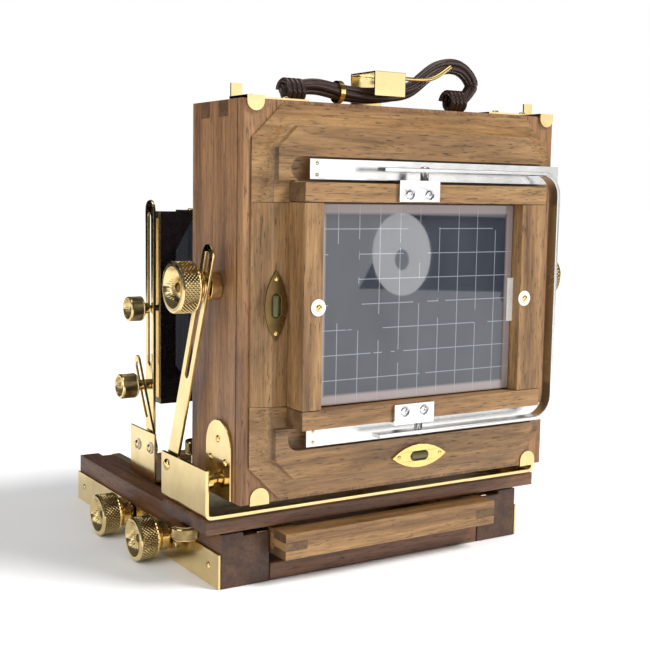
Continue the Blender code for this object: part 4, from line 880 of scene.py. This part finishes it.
def make_handle():
    """The carrying cord, gathered into a bundle with a coil at each end."""
    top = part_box("body_box")[1].z
    catch_low, catch_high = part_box("closing_catch")
    y = (catch_low.y + catch_high.y) / 2
    base = top + 0.0030
    spots = [(-0.060, 0.0045), (-0.042, 0.0075), (-0.022, 0.0055), (0.0, 0.0055), (0.020, 0.0095)]
    spots += [(0.040, 0.0225), (0.056, 0.0240), (0.0655, 0.0150), (0.058, 0.0050)]
    strands = 5
    for n in range(strands):
        phase = 2 * math.pi * n / strands
        route = []
        for k, (x, z) in enumerate(spots):
            swing = phase + 0.45 * k
            spread = 0.0034 if 0 < k < len(spots) - 1 else 0.0024
            route.append(Vector((x, y + spread * math.cos(swing), base + z + 0.8 * spread * math.sin(swing))))
        mesh = tube(curved(route, 7), 0.0018, "handle_cord", 10)
        nodes = ["handle_cords"] if n == 0 else []
        place_piece("handle_cord_%d" % n, mesh, LEATHER, "rear_standard", nodes)
    for label, x in (("left", -0.0545), ("right", 0.0530)):
        turns, radius, steps = 4, 0.0048, 20
        points = []
        for k in range(turns * steps + 1):
            angle = 2 * math.pi * k / steps
            along = x - 0.0055 + 0.0028 * angle / (2 * math.pi)
            lift = base + 0.0052 + radius * math.sin(angle)
            points.append(Vector((along, y + radius * math.cos(angle), lift)))
        place_piece("handle_coil_" + label, tube(points, 0.0015, "coil", 10), LEATHER, "rear_standard")
    band = turned([(-0.0014, 0.0055), (-0.0014, 0.0060), (0.0014, 0.0060), (0.0014, 0.0055)], "band", 40)
    band.transform(Matrix.Translation((-0.026, y, base + 0.0058)))
    place_piece("handle_band", band, BRIGHT_GOLD, "rear_standard")
    bends = (0.014, 0.005, 0.0150), (0.032, 0.006, 0.0160), (0.046, 0.005, 0.0235)
    rod = [Vector((x, y - back, base + lift)) for x, back, lift in bends]
    place_piece("handle_rod", tube(curved(rod, 8), 0.0011, "rod", 12), BRIGHT_GOLD, "rear_standard")


# ---- bellows
def make_bellows():
    """Pleated cloth in five lengths, each bending across one joint.

    Neighbours share a ring that follows one body. The second length is longer than the rear focus's travel, so that
    its neighbours don't meet.
    """
    low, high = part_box("bellows")
    rear_middle = (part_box("body_box")[0].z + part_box("body_box")[1].z) / 2
    lens_low, lens_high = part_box("lens_frame")
    front_middle = (lens_low.z + lens_high.z) / 2
    rear_half, front_half = (0.0840, 0.0780), (0.0650, 0.0430)
    depth, wall, corner = 0.0052, 0.0009, 0.0070
    joints = ("rear_standard", "rear_carriage", "bed", "focus_carriage", "front_standard", "lens_standard")
    lengths = (0.0360, 0.0262, 0.0088, 0.0230, 0.0057)
    folds = (7, 5, 6, 5, 1)
    starts = [low.y + sum(lengths[:k]) for k in range(6)]

    def ring(y, inward):
        t = (y - low.y) / (high.y - low.y)
        half_x = rear_half[0] + (front_half[0] - rear_half[0]) * t - inward
        half_z = rear_half[1] + (front_half[1] - rear_half[1]) * t - inward
        centre = rear_middle + (front_middle - rear_middle) * t
        return [(x, y, z) for x, z in octagon(half_x, half_z, corner, centre)]

    for k in range(5):
        stations = []
        step = (starts[k + 1] - starts[k]) / folds[k]
        for n in range(folds[k]):
            y = starts[k] + n * step
            stations += [(y, 0.0), (y + 0.10 * step, 0.0), (y + 0.50 * step, depth), (y + 0.60 * step, depth)]
        stations.append((starts[k + 1], 0.0))
        outside = [ring(y, inward) for y, inward in stations]
        inside = [ring(y, inward + wall) for y, inward in reversed(stations)]
        mesh = skin(outside + inside, "bellows_%d" % k, capped=False, ring_closed=False)
        piece = place_piece("bellows_%d" % k, mesh, CLOTH, None)
        if k == 0:
            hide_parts("bellows")
        start, end = (Vector((0, starts[j], rear_middle)) for j in (k, k + 1))
        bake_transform(piece, joints[k], joints[k + 1], start=start, end=end)
    plate = 0.0015
    opening = [(x, z) for x, _, z in ring(low.y, 0.004)]
    edge = rectangle(low.x, high.x, low.z, high.z)
    flange = outline("bellows_flange", [edge, opening], "XZ", low.y, low.y + plate, 0.0002)
    place_piece("bellows_flange", flange, LACQUER, "rear_standard")


# ---- focus frame
def make_focus_frame():
    """Two rails and two cross boards, finger-jointed at the corners."""
    low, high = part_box("focus_frame")
    width = 0.013
    body = body_of("focus_frame")
    tall = (high.z - low.z) / 3
    for label, side in SIDES:
        loop = [(low.y + width + JOINT_LINE, low.z), (high.y - width - JOINT_LINE, low.z)]
        for y0, y1, order in ((high.y - width, high.y, 1), (low.y, low.y + width, -1)):
            near, far = (y0 + JOINT_LINE, y1) if order > 0 else (y1 - JOINT_LINE, y0)
            tooth = [(near, low.z + tall + JOINT_LINE), (far, low.z + tall + JOINT_LINE)]
            tooth += [(far, low.z + 2 * tall - JOINT_LINE), (near, low.z + 2 * tall - JOINT_LINE)]
            rim = [(near, high.z)]
            loop += tooth + rim if order > 0 else rim + tooth[::-1]
        x = sorted((side * high.x, side * (high.x - width)))
        mesh = outline("focus_rail_" + label, [loop], "YZ", x[0], x[1], 0.0002)
        nodes = ["focus_frame"] if side < 0 else []
        place_piece("focus_rail_" + label, mesh, WOODS["face", "Y"], body, nodes)
    for label, y0, y1 in (("rear", low.y, low.y + width), ("front", high.y - width, high.y)):
        notch = []
        for sign in (1, -1):
            out, inn = sign * high.x, sign * (high.x - width - JOINT_LINE)
            steps = [(out, low.z), (out, low.z + tall), (inn, low.z + tall)]
            steps += [(inn, low.z + 2 * tall), (out, low.z + 2 * tall), (out, high.z)]
            notch += steps if sign > 0 else steps[::-1]
        mesh = outline("focus_cross_" + label, [notch], "XZ", y0, y1, 0.0002)
        place_piece("focus_cross_" + label, mesh, WOODS["face", "X"], body)


# ---- small metal details
def make_fasteners():
    """The screws and washers of the plates and brackets, and the lens frame's cap and strips."""
    for label, side in SIDES:
        node = "hinge_plate_" + label
        low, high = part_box(node)
        x = low.x if side < 0 else high.x
        y = (low.y + high.y) / 2
        for k, (dy, z) in enumerate(((0.0, high.z - 0.010), (-0.008, low.z + 0.019), (0.008, low.z + 0.019))):
            name, place = "%s_screw_%d" % (node, k), (x, y + dy, z)
            screw(name, place, (side, 0, 0), 0.0019, body_of(node), BRIGHT_GOLD, "slot", 40 * k)
    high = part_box("platform_bracket")[1]
    pivot_y, pivot_z = -0.0601, 0.0587
    for label, side in SIDES:
        place = (side * high.x, pivot_y, pivot_z)
        screw("strut_screw_" + label, place, (side, 0, 0), 0.0032, "rear_carriage", GOLD, "slot", 60)
    for label, side in SIDES:
        low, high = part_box("side_plate_" + label)
        x = side * 0.1015
        for k, y in enumerate((low.y + 0.012, high.y - 0.012, -0.050)):
            name = "plate_screw_%s_%d" % (label, k)
            screw(name, (x, y, 0.0100), (side, 0, 0), 0.0020, "bed", GOLD, "slot", 25 * k)
    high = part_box("front_bracket")[1]
    radius, thick = 0.0026, 0.0007
    section = [(0, 0.0004), (0, radius + 0.0009), (thick, radius + 0.0009), (thick, 0.0004)]
    for label, side in SIDES:
        x = side * high.x
        for k, (y, z) in enumerate(((0.0160, 0.0500), (0.0346, 0.0490))):
            washer = turned(section, "washer", 32)
            if side < 0:
                washer.transform(Matrix.Scale(-1, 4, (1, 0, 0)))
                washer.flip_normals()
            washer.transform(Matrix.Translation((x, y, z)))
            place_piece("bracket_washer_%s_%d" % (label, k), washer, NYLON, "focus_carriage")
            name, place = "bracket_screw_%s_%d" % (label, k), (x + side * thick, y, z)
            screw(name, place, (side, 0, 0), radius, "focus_carriage", GOLD, "slot", 45 * k)
    low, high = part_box("lens_frame")
    cap = block("lens_cap", (-0.060, 0.0296, high.z), (0.060, 0.0396, high.z + 0.0010), 0.0002)
    place_piece("lens_frame_cap", cap, GOLD, "lens_standard")
    for k, x in enumerate((-0.052, -0.034, 0.034, 0.052)):
        place = (x, 0.0346, high.z + 0.0012)
        screw("lens_cap_screw_%d" % k, place, (0, 0, 1), 0.0020, "lens_standard", GOLD, "cross", 20 * k)
    thick, end_gap = 0.0006, 0.004
    for label, x in (("left", -0.0750 - thick), ("right", 0.0750)):
        strip = block("strip", (0, 0, 0), (thick, 0.0042, high.z - low.z - 2 * end_gap), 0.0001)
        strip.transform(Matrix.Translation((x, 0.0300, low.z + end_gap)))
        place_piece("lens_strip_" + label, strip, GOLD, "lens_standard")


def make_guides():
    """Gold strips along the bed's guides."""
    for label, side in SIDES:
        low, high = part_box("base_rail_" + label)
        x = sorted((side * 0.0722, side * 0.0782))
        strip = block("guide", (x[0], low.y + 0.001, 0.0271), (x[1], high.y - 0.001, 0.0277), 0.0001)
        place_piece("guide_strip_" + label, strip, GOLD, "bed")


def make_bail_rivets():
    """A rivet at each end of the axis that the bail turns on."""
    low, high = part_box("bail")
    axis_x, axis_y = -0.0040, -0.1422
    for label, z in (("top", high.z - 0.0002), ("bottom", low.z + 0.0002)):
        up = 1 if label == "top" else -1
        place = (axis_x, axis_y, z)
        screw("bail_rivet_" + label, place, (0, 0, up), 0.0026, "bail_lever", CHROME, "slot", 15)


# ---- studio
def emitter(name, place, size, color, strength, aim=(0, 0, 0.12), round_shape=False, corners=None):
    """A lamp or a card that only reflections see. With corners given, the card is drawn in place."""
    shape = bmesh.new()
    if corners:
        shape.faces.new([shape.verts.new(point) for point in corners])
    elif round_shape:
        bmesh.ops.create_circle(shape, cap_ends=True, segments=64, radius=0.5)
    else:
        bmesh.ops.create_grid(shape, x_segments=1, y_segments=1, size=0.5)
    bmesh.ops.scale(shape, vec=(size[0], size[1], 1), verts=shape.verts)
    mesh = bpy.data.meshes.new(name)
    shape.to_mesh(mesh)
    shape.free()
    material = bpy.data.materials.new(name)
    material.use_nodes = True
    nodes = material.node_tree.nodes
    nodes.clear()
    glow = nodes.new("ShaderNodeEmission")
    glow.inputs["Color"].default_value = (*color, 1)
    glow.inputs["Strength"].default_value = strength
    end = nodes.new("ShaderNodeOutputMaterial")
    material.node_tree.links.new(glow.outputs[0], end.inputs[0])
    mesh.materials.append(material)
    obj = linked(name, mesh)
    obj.location = place
    if not corners:
        obj.rotation_euler = (Vector(aim) - Vector(place)).to_track_quat("-Z", "Y").to_euler()
    for ray in ("camera", "diffuse", "shadow", "transmission", "volume_scatter"):
        setattr(obj, "visible_" + ray, False)


def make_studio():
    """A pale floor, soft light, and the cards and lamp that the glass and metal reflect."""
    floor = linked("floor", block("floor", (-6, -6, -0.02), (6, 6, -0.0002), 0))
    look = Look("floor", Roughness=0.7)
    floor.data.materials.append(look.finish(look.ramp(look.noise(look.place, 3.0), (0.3, 0.94), (0.7, 0.96))))
    world = bpy.data.worlds.new("studio")
    bpy.context.scene.world = world
    world.use_nodes = True
    nodes, links = world.node_tree.nodes, world.node_tree.links
    ground = nodes["Background"]
    seen = nodes.new("ShaderNodeLightPath")
    value = 0.48  # the world's strength for light that scatters
    for ray, level in (("Is Glossy Ray", 0.10), ("Is Camera Ray", 1.0)):
        strength = nodes.new("ShaderNodeMix")
        links.new(seen.outputs[ray], strength.inputs[0])
        if isinstance(value, float):
            strength.inputs[2].default_value = value
        else:
            links.new(value, strength.inputs[2])
        strength.inputs[3].default_value = level
        value = strength.outputs[0]
    links.new(value, ground.inputs["Strength"])
    ground.inputs["Color"].default_value = (1, 1, 1, 1)
    for name, direction, power, angle in (
        ("key", (0.70, -0.80, 1.05), 3.5, 22.0),
        ("fill", (-0.95, -0.25, 0.75), 1.2, 60.0),
    ):
        light = bpy.data.lights.new(name, "SUN")
        light.energy = power
        light.angle = math.radians(angle)
        obj = linked(name, light)
        obj.rotation_euler = (-Vector(direction)).to_track_quat("-Z", "Y").to_euler()
        obj.visible_glossy = False
    white, black = (1, 1, 1), (0, 0, 0)
    glass_spot = Vector((-0.0152, -0.1387, 0.1758))
    emitter("panel_right", (0.90, -1.95, 0.45), (1.8, 1.1), white, 1.25)
    emitter("panel_left", (-1.7, -0.30, 0.70), (1.2, 1.0), white, 2.2)
    emitter("panel_top", (0.1, -0.2, 1.8), (1.4, 1.0), white, 2.0)
    emitter("lamp", (0.572, -0.947, 0.125), (0.084, 0.119), white, 3.9, glass_spot, True)
    emitter("lamp_core", (0.567, -0.939, 0.118), (0.020, 0.030), white, 1.3, glass_spot, True)
    emitter("flag_glass", (0.95, -1.75, 0.085), (2.0, 0.17), black, 0.0, (0.0, 0.0, 0.085))
    emitter("flag_posts", (-0.71, 1.37, 0.30), (0.8, 0.60), black, 0.0, (0.0, 0.0, 0.30))
    foot, head = Vector((0.536, -1.057, 0.007)), Vector((0.621, -1.033, 0.174))
    slanted = [foot, head, head * 2 - foot, Vector((-0.1, -1.25, 0.341)), Vector((-0.1, -1.25, 0.007))]
    emitter("panel_slanted", (0, 0, 0), (1, 1), white, 1.5, corners=slanted)
    emitter("flag_low", (-1.2, -1.3, 0.15), (0.9, 0.5), black, 0.0)
    emitter("flag_far", (-1.4, 1.0, 0.5), (0.7, 1.2), black, 0.0)


def make_camera():
    """The photo's viewpoint."""
    turn, pitch, roll = math.radians(32.235), math.radians(6.600), math.radians(0.943)
    ahead = Vector((math.sin(turn) * math.cos(pitch), math.cos(turn) * math.cos(pitch), -math.sin(pitch)))
    right = Vector((math.cos(turn), -math.sin(turn), 0))
    up = right.cross(ahead)
    across = right * math.cos(roll) + up * math.sin(roll)
    above = up * math.cos(roll) - right * math.sin(roll)
    camera = bpy.data.cameras.new("camera")
    camera.lens, camera.sensor_width = 63.5, 36.0
    camera.clip_start = 0.01
    obj = linked("camera", camera)
    columns = Matrix((across, above, -ahead)).transposed().to_4x4()
    obj.matrix_world = Matrix.Translation((-0.36359, -0.61880, 0.20627)) @ columns
    bpy.context.scene.camera = obj
    bpy.context.scene.view_settings.view_transform = "Standard"


def make_knobs():
    """Each knob with its length, its neck as (along, radius) pairs, and its pitch."""
    drive = ((0.0125, 0.0060), (0.0145, 0.0085), (0.0185, 0.0085), (0.0190, 0.0040))
    for label, _ in SIDES:
        knurled_knob("focus_knob_" + label, 0.0120, drive, 0.0020)
        knurled_knob("tilt_knob_" + label, 0.0110, ((0.0112, 0.0060), (0.0142, 0.0045)), 0.0020)
        knurled_knob("rise_knob_" + label, 0.0092, ((0.0096, 0.0034), (0.0141, 0.0032)), 0.0013)
        knurled_knob("front_tilt_knob_" + label, 0.0107, ((0.0110, 0.0034), (0.0142, 0.0032)), 0.0013)
    knurled_knob("bed_lock_knob", 0.0120, drive, 0.0020)
    knurled_knob("swing_lock_knob", 0.0075, ((0.0078, 0.0024), (0.0260, 0.0022)), 0.0010, "Z", 1)
    knurled_knob("platform_lock_knob", 0.0066, ((0.0070, 0.0060), (0.0072, 0.0060)), 0.0010, "Z", -1)


for make in (
    make_camera, finish_nodes, make_body_box, make_back, make_screen_frame, make_screen_fittings,
    make_springs, make_levels, make_corners, make_handle, make_bellows, make_focus_frame,
    make_knobs, make_fasteners, make_guides, make_bail_rivets, make_studio,
):
    make()
bpy.data.collections.remove(HIDDEN)
